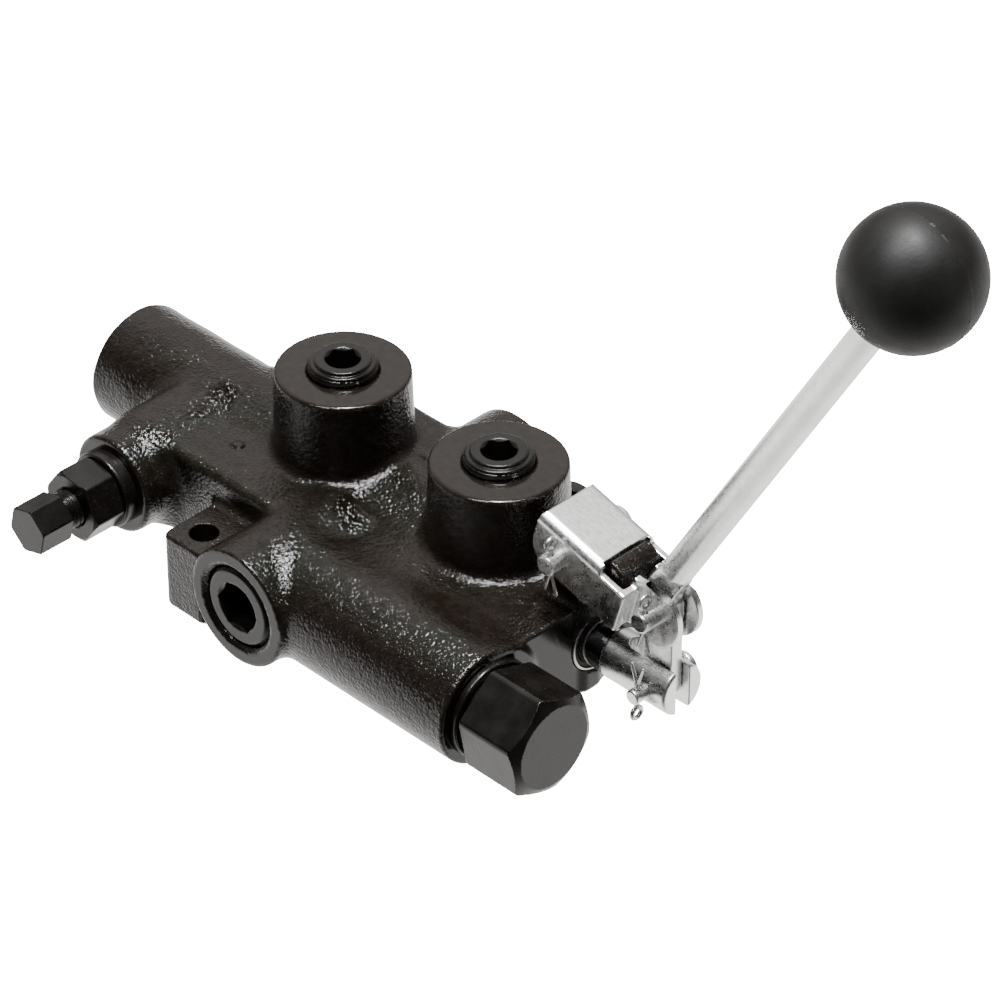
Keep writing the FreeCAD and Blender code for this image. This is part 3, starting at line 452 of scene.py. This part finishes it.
# Each ear: its hole's x and y, the y of its root and the radius of its corners seen from above.
EARS = [(-39.4, -51.1, -30.0, 3.0), (-62.8, 37.0, 20.0, 7.0), (24.2, 37.0, 20.0, 7.0)]
EAR_RADIUS, EAR_HEIGHT, EAR_HOLE = 9.0, 26.0, 4.37
WORK_THREAD, SIDE_THREAD = 10.7, 13.4
REAR_PORT_X, REAR_PORT_RADIUS, REAR_PASSAGE = -4.5, 12.1, 7.0
SPOOL_SEAL_BORE, SPRING_BORE, RELIEF_BORE = 10.15, 15.05, 9.5
SPRING_SHOULDER = -84.0
LUG_HALF_WIDTH, LUG_RADIUS = 8.0, 8.4
NOSE_ALONG, NOSE_ABOVE, NOSE_RADIUS, NOSE_END = 14.3, 0.4, 8.3, 21.3


def lug_field(x, y, z):
    """The arm that carries the link: a post, a head round the pin and a nose over the spool."""
    c, s = math.cos(math.radians(LINK_TILT)), math.sin(math.radians(LINK_TILT))
    dx, dz = x - LUG[0], z - LUG[2]
    along, above = dx * c - dz * s, dx * s + dz * c
    post = np.maximum(slab(x, LUG[0] - LUG_RADIUS, BODY_RIGHT), slab(z, 25, LUG[2]))
    arm = np.maximum(slab(along, 0, NOSE_ALONG), slab(above, -7.3, 7.3))
    outline = joined(joined(post, disc(dx, dz, LUG_RADIUS), 1.5), arm, 2.0)
    nose = bounded(disc(along - NOSE_ALONG, above - NOSE_ABOVE, NOSE_RADIUS), along - NOSE_END, edge=2.5)
    outline = joined(outline, nose, 0.5)
    plate_room = np.maximum(slab(along, -30, 13.9), -(above - 4.6))
    end_room = np.maximum(slab(along, -30, -9.4), -above)
    outline = cut(cut(outline, plate_room, 0.8), end_room, 0.8)
    solid = bounded(outline, slab(y, -LUG_HALF_WIDTH, LUG_HALF_WIDTH), edge=1.1)
    return cut(solid, disc(dx, dz, 3.2) + 0 * y, 0.3)


def ear_field(x, y, z, ear_x, ear_y, root_y, corner):
    """A mounting ear, a block that reaches out of the body past its hole."""
    tip_y = ear_y + math.copysign(EAR_RADIUS, ear_y)
    sides = slab(x, ear_x - EAR_RADIUS, ear_x + EAR_RADIUS)
    plan = bounded(sides, slab(y, *sorted((tip_y, root_y))), edge=corner)
    return bounded(plan, slab(z, 0, EAR_HEIGHT), edge=1.2)


def casting_field(x, y, z):
    """The casting, outside first: the cast skin with its slight waves, then bosses and faces."""
    up = z - AXIS_Z
    web = (WEB_LOW, WEB_TOP)
    f = bounded(disc(y, up, BARREL_RADIUS), slab(x, BODY_LOW[0], 40), edge=1.2)
    f = joined(f, box_field(x, y, z, (-91, -11.3), (-38, 0), web, 3), 4)
    f = joined(f, box_field(x, y, z, (-77.8, 49.2), (0, 31), web, 4), 4)
    f = joined(f, bounded(disc(x - RELIEF_X, up, NECK_RADIUS), slab(y, NECK_FACE, -5), edge=1.5), 6)
    for ear in EARS:
        f = joined(f, ear_field(x, y, z, *ear), 3)
    f = f + 0.13 * np.sin(0.31 * x + 0.6) * np.sin(0.27 * y + 0.4) * np.sin(0.35 * z)
    f = joined(f, box_field(x, y, z, (-20, BODY_RIGHT), (GALLERY[1], 0), web, 1), 3)
    f = joined(f, box_field(x, y, z, (40, BODY_RIGHT), (-5, 17), web, 1), 4)
    gallery = disc(y - GALLERY[1], up, GALLERY_RADIUS)
    f = joined(f, bounded(gallery, slab(x, SIDE_PORT_X, BODY_RIGHT), edge=1), 2.5)
    side_boss = disc(x - SIDE_PORT_X, up, SIDE_BOSS_RADIUS)
    f = joined(f, bounded(side_boss, slab(y, SIDE_FACE, -20), edge=1), 2.5)
    rear_boss = disc(x - REAR_PORT_X, up, REAR_BOSS_RADIUS)
    f = joined(f, bounded(rear_boss, slab(y, 10, REAR_FACE), edge=1), 3)
    for port_x in WORK_PORTS:
        taper = disc(x - port_x, y, BOSS_RADIUS) + BOSS_DRAFT * (z - 30)
        f = joined(f, bounded(taper, slab(z, AXIS_Z, BOSS_TOP), edge=1.1), 3.2)
    f = joined(f, lug_field(x, y, z), 2.5)
    foot_pad = box_field(x, y, z, (-24, 24), (-12, 12), (0, 8), 1)
    cast_mark = box_field(x, y, z, (-56.9, -53.1), (-24.7, -21.3), (WEB_TOP - 2, WEB_TOP + 0.7), 0.5)
    f = joined(joined(f, foot_pad, 2), cast_mark, 0.4)
    for w, low, high in zip((x, y, z), BODY_LOW, BODY_HIGH):
        f = np.maximum(f, slab(w, low, high))
    return casting_openings(f, x, y, z)


def casting_openings(f, x, y, z):
    """Cut the ports, the holes and the bores of the spool, its springs and the relief valve."""
    up = z - AXIS_Z
    for port_x in WORK_PORTS:
        thread = disc(x - port_x, y, WORK_THREAD)
        f = cut(f, np.maximum(flared(thread, BOSS_TOP - 0.4 - z), 50 - z), 0.2)
    thread = disc(x - SIDE_PORT_X, up, SIDE_THREAD)
    f = cut(f, np.maximum(flared(thread, y - SIDE_FACE - 1.3), y + 47), 0.2)
    rear = disc(x - REAR_PORT_X, up, REAR_PORT_RADIUS)
    f = cut(f, np.maximum(flared(rear, REAR_FACE - 1.2 - y), 25 - y), 0.2)
    f = cut(f, np.maximum(disc(x - REAR_PORT_X, up, REAR_PASSAGE), 19 - y), 0.3)
    for ear_x, ear_y, _, _ in EARS:
        f = cut(f, disc(x - ear_x, y - ear_y, EAR_HOLE) + 0 * z, 0.5)
    f = cut(f, np.maximum(disc(y, up, SPOOL_SEAL_BORE), 66 - x), 0.5)
    f = cut(f, np.maximum(disc(y, up, SPRING_BORE), x - SPRING_SHOULDER), 0.4)
    return cut(f, np.maximum(disc(x - RELIEF_X, up, RELIEF_BORE), y + 22), 0.3)


def machined_share(points):
    """1 on faces that were machined, 0 on the cast skin, from positions in millimetres."""
    x, y, z = points.T
    near = 0.25
    across = np.hypot(x - SIDE_PORT_X, z - AXIS_Z)
    faces = (z > BOSS_TOP - near) | (x > BODY_RIGHT - near) & (z < WEB_TOP + 1)
    faces |= (y < SIDE_FACE + near) & (across < 20) | (y > REAR_FACE - near) | (z < near)
    faces |= (y < NECK_FACE + near) & (x < RELIEF_X + NECK_RADIUS)
    return faces.astype(np.float32)


def casting():
    piece = carve("casting", casting_field, BODY_LOW, BODY_HIGH, 0.97)
    co = np.empty(3 * len(piece.data.vertices), np.float32)
    piece.data.vertices.foreach_get("co", co)
    share = machined_share(co.reshape(-1, 3) / MM)
    attribute = piece.data.attributes.new("machined", "FLOAT", "POINT")
    attribute.data.foreach_set("value", share)
    finished(piece, "valve_body", "cast_black")


# ---------------------------------------------------------------- plugs
PIPE_PITCH = 1.81
WORK_SOCKET, SIDE_SOCKET, END_SOCKET = 9.6, 14.3, 12.7
WORK_PLUG_RADIUS, SIDE_PLUG_RADIUS, END_PLUG_RADIUS = 10.65, 13.35, 14.9
HEX_HEAD_FLATS, HEX_HEAD_LENGTH, HEX_HEAD_SPIN = 30.2, 22.2, 41
CHAMFER_SLOPE = 1.75


def work_plug_field(u, v, w):
    """A plug that stands proud of its boss in two steps: w is 0 at the boss's top face."""
    thread = threaded(u, v, w, WORK_PLUG_RADIUS, PIPE_PITCH, 0.55)
    thread = bounded(thread, slab(w, -8, 1.9), edge=0.25)
    ledge = bar(u, v, w, 10.0, -6, 2.9, 0.6)
    crown = bar(u, v, w, 8.5, -6, PLUG_PROUD, 0.5)
    body = joined(np.minimum(thread, ledge), crown, 0.3)
    socket = np.maximum(hexagon(u, v, WORK_SOCKET, 45), -5.5 - w)
    lead_in = cone_field(u, v, -w, 5.6, -PLUG_PROUD, 1.0)
    return cut(body, np.minimum(socket, np.maximum(lead_in, 2.0 - w)), 0.2)


def side_plug_field(u, v, w):
    """The inlet's plug: w is 0 at its outer face."""
    thread = threaded(u, v, w, SIDE_PLUG_RADIUS, PIPE_PITCH, 0.5)
    rim = cone_field(u, v, w, 11.8, 0, 1.0)
    body = bounded(np.maximum(thread, rim), slab(w, -14, 0), edge=0.3)
    socket = np.maximum(hexagon(u, v, SIDE_SOCKET, 0), -8 - w)
    lead_in = cone_field(u, v, -w, 8.0, 0, 1.0)
    return cut(body, np.minimum(socket, np.maximum(lead_in, -2.0 - w)), 0.25)


def port_plugs():
    for key, port_x in zip("ab", WORK_PORTS):
        place = placed((port_x, 0, BOSS_TOP), AXES["+Z"])
        low, high = (-11, -11, -8), (11, 11, PLUG_PROUD)
        piece = carve("plug_" + key, work_plug_field, low, high, 0.33, place)
        finished(piece, "work_port_plug_" + key, "plug_black")
    face = span("side_port_plug")[0][1]
    place = placed((SIDE_PORT_X, face, AXIS_Z), AXES["-Y"])
    piece = carve("side_plug", side_plug_field, (-14, -14, -14), (14, 14, 0), 0.4, place)
    finished(piece, "side_port_plug", "plug_black")


def gallery_plug():
    """The large hexagon plug beside the spool, its neck and its washer."""
    outer = span("gallery_plug")[1][0]
    place = placed((outer, GALLERY[1], AXIS_Z), AXES["+X"])

    def plug_field(u, v, w):
        sides = hexagon(u, v, HEX_HEAD_FLATS, HEX_HEAD_SPIN, 1.0)
        head = bounded(sides, slab(w, -HEX_HEAD_LENGTH, 0), edge=0.5)
        crown = cone_field(u, v, w, 13.3, 0, CHAMFER_SLOPE)
        foot = cone_field(u, v, -w, 16.4, HEX_HEAD_LENGTH, CHAMFER_SLOPE)
        neck = bar(u, v, w, 13.0, -36, -HEX_HEAD_LENGTH + 1, 0.3)
        return joined(np.maximum(head, np.maximum(crown, foot)), neck, 0.6)

    piece = carve("gallery_hex_plug", plug_field, (-18, -18, -36), (18, 18, 0), 0.45, place)
    finished(piece, "gallery_plug", "plug_black")
    washer_at = placed((BODY_RIGHT, GALLERY[1], AXIS_Z), AXES["+X"])

    def washer_field(u, v, w):
        return cut(bar(u, v, w, 15.6, 0, 2.6, 0.8), disc(u, v, 13.5) + 0 * w, 0.3)

    ring = carve("gallery_washer", washer_field, (-16, -16, 0), (16, 16, 2.6), 0.38, washer_at)
    finished(ring, "gallery_plug_washer", "plug_black")


def barrel_end():
    """The flat plug in the barrel's far end, with a snap-ring groove and a hexagon socket."""
    face = span("barrel_end_plug")[0][0]
    place = placed((face, 0, AXIS_Z), AXES["-X"])

    def plug_field(u, v, w):
        body = bar(u, v, w, END_PLUG_RADIUS, -7.4, 0, 0.8)
        groove = np.maximum(slab(np.hypot(u, v), 11.6, 13.0), -0.7 - w)
        body = cut(body, groove, 0.2)
        return cut(body, np.maximum(hexagon(u, v, END_SOCKET, 0), -3.5 - w), 0.3)

    piece = carve("barrel_end_cap", plug_field, (-15, -15, -7.4), (15, 15, 0), 0.42, place)
    finished(piece, "barrel_end_plug", "plug_black")


# ---------------------------------------------------------------- relief valve
NUT_FLATS, NUT_SPIN = 20.6, 54
SCREW_HEAD_FLATS, SCREW_HEAD_SPIN, SCREW_HEAD_LENGTH = 14.3, 16.5, 12
SCREW_RADIUS, SCREW_PITCH, NUT_BORE = 5.98, 1.4, 6.05


def relief_valve():
    """Cartridge flange, lock nut and adjusting screw, all along an axis that points to the front."""
    place = placed((RELIEF_X, NECK_FACE, AXIS_Z), AXES["-Y"])
    nut_front = NECK_FACE - span("relief_lock_nut")[0][1]
    nut_back = NECK_FACE - span("relief_lock_nut")[1][1]
    tip = NECK_FACE - span("relief_adjusting_screw")[0][1]

    def flange_field(u, v, w):
        return cut(bar(u, v, w, 12.2, -12, nut_back, 0.8), disc(u, v, 6.1) + 0 * w, 0.3)

    piece = carve("relief_flange", flange_field, (-13, -13, -12), (13, 13, 5), 0.4, place)
    finished(piece, "relief_cartridge", "plug_black")

    def nut_field(u, v, w):
        body = bounded(hexagon(u, v, NUT_FLATS, NUT_SPIN, 0.6), slab(w, nut_back, nut_front), edge=0.35)
        front = cone_field(u, v, w, NUT_FLATS / 2, nut_front, CHAMFER_SLOPE)
        back = cone_field(u, v, -w, NUT_FLATS / 2, -nut_back, CHAMFER_SLOPE)
        body = np.maximum(body, np.maximum(front, back))
        lead_in = cone_field(u, v, -w, 6.9, -nut_front, 1)
        return cut(body, np.minimum(disc(u, v, NUT_BORE) + 0 * w, lead_in), 0.25)

    low, high = (-12, -12, nut_back), (12, 12, nut_front)
    finished(carve("lock_nut", nut_field, low, high, 0.36, place), "relief_lock_nut", "plug_black")

    def screw_field(u, v, w):
        sides = hexagon(u, v, SCREW_HEAD_FLATS, SCREW_HEAD_SPIN, 0.5)
        head = bounded(sides, slab(w, tip - SCREW_HEAD_LENGTH, tip), edge=0.35)
        head = np.maximum(head, cone_field(u, v, w, 7.6, tip, CHAMFER_SLOPE))
        thread = threaded(u, v, w, SCREW_RADIUS, SCREW_PITCH, 0.5)
        thread = np.maximum(thread, slab(w, 4, tip - SCREW_HEAD_LENGTH + 1))
        return joined(head, thread, 0.3)

    low, high = (-8.5, -8.5, 4), (8.5, 8.5, tip)
    piece = carve("adjusting_screw", screw_field, low, high, 0.27, place)
    finished(piece, "relief_adjusting_screw", "plug_black")


# ---------------------------------------------------------------- spool end
WIPER_RADIUS, WIPER_SHELL_INNER, WIPER_LIP_INNER, WIPER_DEPTH = 10.1, 9.25, 7.66, 3.5
CLEVIS_RADIUS, CLEVIS_SLOT_HALF, CLEVIS_SLOT_FLOOR = 8.1, 2.65, 8.6


def wiper():
    """The wiper in the body's end face: a thin light shell round a black lip."""
    place = placed((BODY_RIGHT, 0, AXIS_Z), AXES["+X"])

    def shell_field(u, v, w):
        ring = bar(u, v, w, WIPER_RADIUS, -WIPER_DEPTH, 0.4, 0.3)
        return cut(ring, disc(u, v, WIPER_SHELL_INNER) + 0 * w, 0.2)

    def lip_field(u, v, w):
        ring = bar(u, v, w, WIPER_SHELL_INNER, -WIPER_DEPTH, -0.3, 0.3)
        return cut(ring, disc(u, v, WIPER_LIP_INNER) + 0 * w, 0.4)

    low, high = (-10.2, -10.2, -3.5), (10.2, 10.2, 0.4)
    finished(carve("wiper_shell", shell_field, low, high, 0.3, place), "spool_wiper_ring", "wiper")
    finished(carve("wiper_lip", lip_field, low, high, 0.3, place), "spool_wiper_ring", "seal_rubber")


def clevis():
    """The round fork on the spool's tail, slotted for the lever's foot."""
    low, high = span("spool_clevis")
    place = placed((low[0], 0, AXIS_Z), AXES["+X"])
    length = high[0] - low[0]
    pin_w = FOOT_PIN[0] - low[0]

    def clevis_field(u, v, w):
        body = bar(u, v, w, CLEVIS_RADIUS, 0, length, 1.1)
        slot = np.maximum(slab(u, -CLEVIS_SLOT_HALF, CLEVIS_SLOT_HALF), CLEVIS_SLOT_FLOOR - w)
        slot = np.minimum(slot, disc(u, w - CLEVIS_SLOT_FLOOR, CLEVIS_SLOT_HALF) + 0 * v)
        body = cut(body, slot, 0.45)
        return cut(body, disc(v, w - pin_w, 2.45) + 0 * u, 0.35)

    piece = carve("clevis", clevis_field, (-8.2, -8.2, 0), (8.2, 8.2, length), 0.33, place)
    finished(piece, "spool_clevis", "zinc_bright")


# ---------------------------------------------------------------- link, pins and lever
SHEET, CHANNEL_TOP, CHANNEL_BOTTOM, CHANNEL_HALF = 2.5, 8.0, -9.0, 11.5
CHANNEL_INNER_HALF = CHANNEL_HALF - SHEET
CHANNEL_BACK, PLATE_END, CHANNEL_END = -11.1, 12.8, 24.4
FORK_INNER, FORK_OUTER, FORK_RADIUS = 2.9, 5.4, 10.3
THICK_PIN, THIN_PIN = (3.175, 4.9), (2.4, 4.4)
BLADE_HALF_THICK, FOOT_RADIUS, TAB_HALF_WIDTH, TAB_LENGTH = 2.25, 5.35, 4.7, 9.4
LEVER_PIN_HOLE, FOOT_HOLE = 3.2, 4.1
ROD_RADIUS, BALL_RADIUS, BALL_DRAWN_RADIUS = 4.76, 20.0, 19.93


def link_field(a, y, c):
    """The link in its own axes: a runs from the lug pin to the lever's pin and c is up."""
    wide = np.abs(y)
    outer = bounded(wide - CHANNEL_HALF, c - CHANNEL_TOP, edge=3.4)
    inner = bounded(wide - CHANNEL_INNER_HALF, c - (CHANNEL_TOP - SHEET), edge=0.9)
    back = bounded(CHANNEL_BACK - a, CHANNEL_BOTTOM - c, edge=8.0)
    back = np.maximum(back, bounded(CHANNEL_BACK - a, c - CHANNEL_TOP, edge=1.2))
    channel = bounded(cut(np.maximum(outer, back), inner, 0.3), a - CHANNEL_END, edge=0.4)
    window = np.maximum(slab(a, PLATE_END, CHANNEL_END - SHEET), wide - CHANNEL_INNER_HALF)
    channel = cut(channel, np.maximum(window, -(c - 1)), 0.4)
    end_slab = slab(a, CHANNEL_END - SHEET, CHANNEL_END)
    wall = bounded(outer, end_slab, CHANNEL_BOTTOM - c, edge=0.8)
    dropped = bounded(PLATE_END + 1.2 - a, 5.2 - c, edge=1.0)
    channel, wall = cut(channel, dropped, 0.6), cut(wall, dropped, 0.6)
    flat = np.maximum(slab(a, CHANNEL_END - SHEET, LINK_LENGTH), slab(c, CHANNEL_BOTTOM, 7.6))
    outline = joined(flat, disc(a - LINK_LENGTH, c, FORK_RADIUS), 1.0)
    plates = bounded(outline, slab(wide, FORK_INNER, FORK_OUTER), edge=0.4)
    shape = joined(joined(channel, wall, 0.8), plates, 1.2)
    return cut(shape, np.maximum(wide - FORK_INNER, PLATE_END - a), 0.4)


def link():
    """Bent sheet steel: a channel over the lug, stepped in to a narrow fork at the lever."""
    place = placed((LUG[0], 0, LUG[2]), tilted(LINK_TILT))
    piece = carve("link_channel", link_field, (-11.2, -11.6, -10.4), (41.5, 11.6, 8.1), 0.36, place)
    finished(piece, "link_bracket", "zinc_bright")


def clevis_pin(node, radius, head_radius):
    """A pin along Y with its head at the back and a cross hole for its cotter at the front."""
    low, high = span(node)
    near, far = low[1], high[1]
    head_thick = 2.2
    cotter_y = middle(node.replace("_pin", "_cotter"))[1]
    place = placed((middle(node)[0], 0, middle(node)[2]), AXES["+Y"])

    def pin_field(u, v, w):
        shank = bar(u, v, w, radius, near, far - 1, 0.6)
        head = bar(u, v, w, head_radius, far - head_thick, far, 0.7)
        shape = joined(shank, head, 0.3)
        return cut(shape, disc(v, w - cotter_y, 0.95) + 0 * u, 0.25)

    reach = head_radius + 0.1
    piece = carve(node + "_turned", pin_field, (-reach, -reach, near), (reach, reach, far), 0.3, place)
    finished(piece, node, "zinc_bright")


def cotter_field(u, v, w):
    """A split pin along w, with its eye above and its legs bent apart below."""
    wire_radius, eye_radius, eye_at = 0.75, 1.85, 6.4
    leg_radius, leg_length, spread_at, spread = 0.5, 7.2, -3.8, 17
    eye = np.hypot(np.hypot(v, w - eye_at) - eye_radius, u) - wire_radius
    shank = bounded(disc(u, v, 0.85), slab(w, -4.2, 5.0), edge=0.3)
    shank = np.maximum(shank, -slab(v, -0.09, 0.09))
    shape = np.minimum(eye, shank)
    for side in (-1, 1):
        lean = math.radians(spread * side)
        across = u * math.cos(lean) + (w - spread_at) * math.sin(lean)
        down = (w - spread_at) * math.cos(lean) - u * math.sin(lean)
        leg = disc(across - leg_radius / 2 * side, v, leg_radius)
        shape = joined(shape, bounded(leg, slab(down, -leg_length, 0), edge=0.25), 0.2)
    return shape


def cotter(node, eye_up):
    """A cotter pin through a clevis pin. Its centre lies eye_top from the eye's outer edge."""
    eye_top = 9.0
    low, high = span(node)
    x, y, _ = middle(node)
    z = high[2] - eye_top if eye_up else low[2] + eye_top
    place = placed((x, y, z), AXES["+Z"] if eye_up else AXES["-Z"])
    piece = carve(node + "_wire", cotter_field, (-3, -2.8, -11.4), (3, 2.8, 9.1), 0.2, place)
    finished(piece, node, "cotter_wire")


def blade_field(x, y, z):
    """The lever's flat end: a foot at the spool, a shin up to the bend and a tab along the rod."""
    c, s = math.cos(math.radians(HANDLE_TILT)), math.sin(math.radians(HANDLE_TILT))
    dx, dz = x - FULCRUM[0], z - BEND_Z
    across, along = dx * c - dz * s, dx * s + dz * c
    foot = disc(dx, z - FOOT_PIN[2], FOOT_RADIUS)
    shin = np.maximum(slab(dx, -FOOT_RADIUS, FOOT_RADIUS), slab(z, FOOT_PIN[2], FULCRUM[2] + 4))
    upper = np.maximum(slab(dx, -TAB_HALF_WIDTH, TAB_HALF_WIDTH), slab(z, FULCRUM[2], BEND_Z))
    knee = disc(dx, dz, TAB_HALF_WIDTH)
    tab = np.maximum(slab(across, -TAB_HALF_WIDTH, TAB_HALF_WIDTH), slab(along, 0, TAB_LENGTH))
    outline = joined(np.minimum(foot, shin), upper, 2.0)
    outline = joined(outline, np.minimum(knee, tab), 1.0)
    plate = bounded(outline, slab(y, -BLADE_HALF_THICK, BLADE_HALF_THICK), edge=0.4)
    plate = cut(plate, disc(dx, z - FULCRUM[2], LEVER_PIN_HOLE) + 0 * y, 0.2)
    return cut(plate, disc(dx, z - FOOT_PIN[2], FOOT_HOLE) + 0 * y, 0.4)


def ball_field(u, v, w):
    """A ball with a faint moulding seam, a flat below and a hole for the rod. w runs along the rod."""
    rise = w - HANDLE_LENGTH
    ball = np.sqrt(u ** 2 + v ** 2 + rise ** 2) - BALL_DRAWN_RADIUS
    seam = np.maximum(ball, slab(v, -0.22, 0.22))
    ball = joined(ball + 0.05, seam, 0.2)
    ball = bounded(ball, -19.2 - rise, edge=0.8)
    return cut(ball, np.maximum(disc(u, v, 4.9), rise + 10), 0.5)


def lever():
    """Flat blade, round rod and ball knob."""
    low, high = span("lever_blade")
    finished(carve("blade", blade_field, low, high, 0.36), "lever_blade", "zinc_bright")
    place = placed((FULCRUM[0], 0, BEND_Z), tilted(HANDLE_TILT))
    end = HANDLE_LENGTH - 8.0

    def rod_field(u, v, w):
        return bar(u, v, w, ROD_RADIUS, TAB_LENGTH, end, 0.7)

    piece = carve("handle_rod", rod_field, (-4.8, -4.8, TAB_LENGTH), (4.8, 4.8, end), 0.45, place)
    finished(piece, "lever_rod", "zinc_bright")
    reach = BALL_RADIUS + 0.1
    low, high = (-reach, -reach, HANDLE_LENGTH - reach), (reach, reach, HANDLE_LENGTH + reach)
    finished(carve("ball", ball_field, low, high, 0.6, place), "ball_knob", "knob_black")


# ---------------------------------------------------------------- stage, light and camera
CAMERA_AZIMUTH, CAMERA_ELEVATION = 45.16, 36.18
CAMERA_AT = (0.8638, -0.8260, 0.9058)
CENTRE = Vector((0.02, -0.01, 0.05))


def area_light(name, offset, size, power):
    """A square lamp at an offset from the object's centre, turned towards it."""
    light = bpy.data.lights.new(name, "AREA")
    light.size = size
    light.energy = power
    lamp = bpy.data.objects.new(name, light)
    lamp.location = CENTRE + offset
    lamp.rotation_euler = (-offset).to_track_quat("-Z", "Y").to_euler()
    bpy.context.scene.collection.objects.link(lamp)


def direction(azimuth, elevation):
    """A unit vector towards an azimuth from the front, turning to the right, and an elevation."""
    a, e = math.radians(azimuth), math.radians(elevation)
    return Vector((math.sin(a) * math.cos(e), -math.cos(a) * math.cos(e), math.sin(e)))


def floor():
    """A pale floor that shines evenly, but adds no light or reflection to the object."""
    mesh = bpy.data.meshes.new("floor")
    half = 6.0
    corners = [(-half, -half, 0), (half, -half, 0), (half, half, 0), (-half, half, 0)]
    mesh.from_pydata(corners, [], [(0, 1, 2, 3)])
    ground = bpy.data.objects.new("floor", mesh)
    ground.location.z = -0.0004
    bpy.context.scene.collection.objects.link(ground)
    material, tree, shader = blank_material("pale_floor")
    cloud = speckle(tree, 3.0)
    tree.links.new(blended(tree, cloud, (0.9, 0.9, 0.9), (0.92, 0.92, 0.92)), shader.inputs["Base Color"])
    shader.inputs["Roughness"].default_value = 0.9
    shader.inputs["Emission Color"].default_value = (1, 1, 1, 1)
    shader.inputs["Emission Strength"].default_value = 20.0
    mesh.materials.append(material)
    ground.visible_glossy = False
    ground.visible_diffuse = False


def sky():
    """A pale table's light from below and a bright ceiling behind, with a dark side at the front right."""
    world = bpy.data.worlds.new("studio")
    bpy.context.scene.world = world
    world.use_nodes = True
    tree = world.node_tree
    tree.nodes.clear()
    place = tree.nodes.new("ShaderNodeTexCoord")
    split = tree.nodes.new("ShaderNodeSeparateXYZ")
    background = tree.nodes.new("ShaderNodeBackground")
    output = tree.nodes.new("ShaderNodeOutputWorld")
    tree.links.new(place.outputs["Generated"], split.inputs["Vector"])
    to_right = math_node(tree, "MULTIPLY", split.outputs["X"], math.sin(math.radians(CAMERA_AZIMUTH)))
    to_front = math_node(tree, "MULTIPLY", split.outputs["Y"], -math.cos(math.radians(CAMERA_AZIMUTH)))
    near = math_node(tree, "ADD", to_right, to_front)
    below = ranged(tree, near, 2.0, 0.12, 0.15, 0.75)
    ceiling = ranged(tree, near, 1.25, 0.14, -0.8, 0.05)
    height = ranged(tree, split.outputs["Z"], 0.15, 1.0, 0.1, 0.55)
    above = math_node(tree, "MULTIPLY", ceiling, height)
    upper_share = ranged(tree, split.outputs["Z"], 0.0, 1.0, -0.2, 0.0)
    change = math_node(tree, "MULTIPLY", math_node(tree, "SUBTRACT", above, below), upper_share)
    level = math_node(tree, "ADD", below, change)
    tree.links.new(level, background.inputs["Strength"])
    tree.links.new(background.outputs["Background"], output.inputs["Surface"])
    background.inputs["Color"].default_value = (1.0, 0.985, 0.96, 1)


def lights_and_camera():
    """Small lamps above, whose images sparkle on the grain, and a long lens at the front right."""
    area_light("key_left", 1.5 * direction(CAMERA_AZIMUTH - 50, 66), 0.25, 16)
    area_light("key_right", 1.5 * direction(CAMERA_AZIMUTH + 48, 72), 0.25, 12)
    area_light("overhead", Vector((-0.1, 0.1, 1.8)), 0.24, 70)
    camera = bpy.data.cameras.new("camera")
    camera.sensor_width = 36.0
    camera.lens = 180.0
    camera.clip_end = 50.0
    eye = bpy.data.objects.new("camera", camera)
    eye.location = CAMERA_AT
    look = direction(CAMERA_AZIMUTH, CAMERA_ELEVATION)
    eye.rotation_euler = look.to_track_quat("Z", "Y").to_euler()
    bpy.context.scene.collection.objects.link(eye)
    bpy.context.scene.camera = eye


# ---------------------------------------------------------------- build
casting()
port_plugs()
gallery_plug()
barrel_end()
relief_valve()
wiper()
clevis()
link()
clevis_pin("lug_pin", *THICK_PIN)
clevis_pin("fulcrum_pin", *THICK_PIN)
clevis_pin("spool_pin", *THIN_PIN)
cotter("lug_cotter", True)
cotter("fulcrum_cotter", True)
cotter("spool_cotter", False)
lever()

for entry in frame["record"]["subparts"]:
    cad = frame["nodes"][entry["node"]]
    cad.data.materials.clear()
    cad.data.materials.append(MATERIALS[entry["material_slot"]])

floor()
sky()
lights_and_camera()
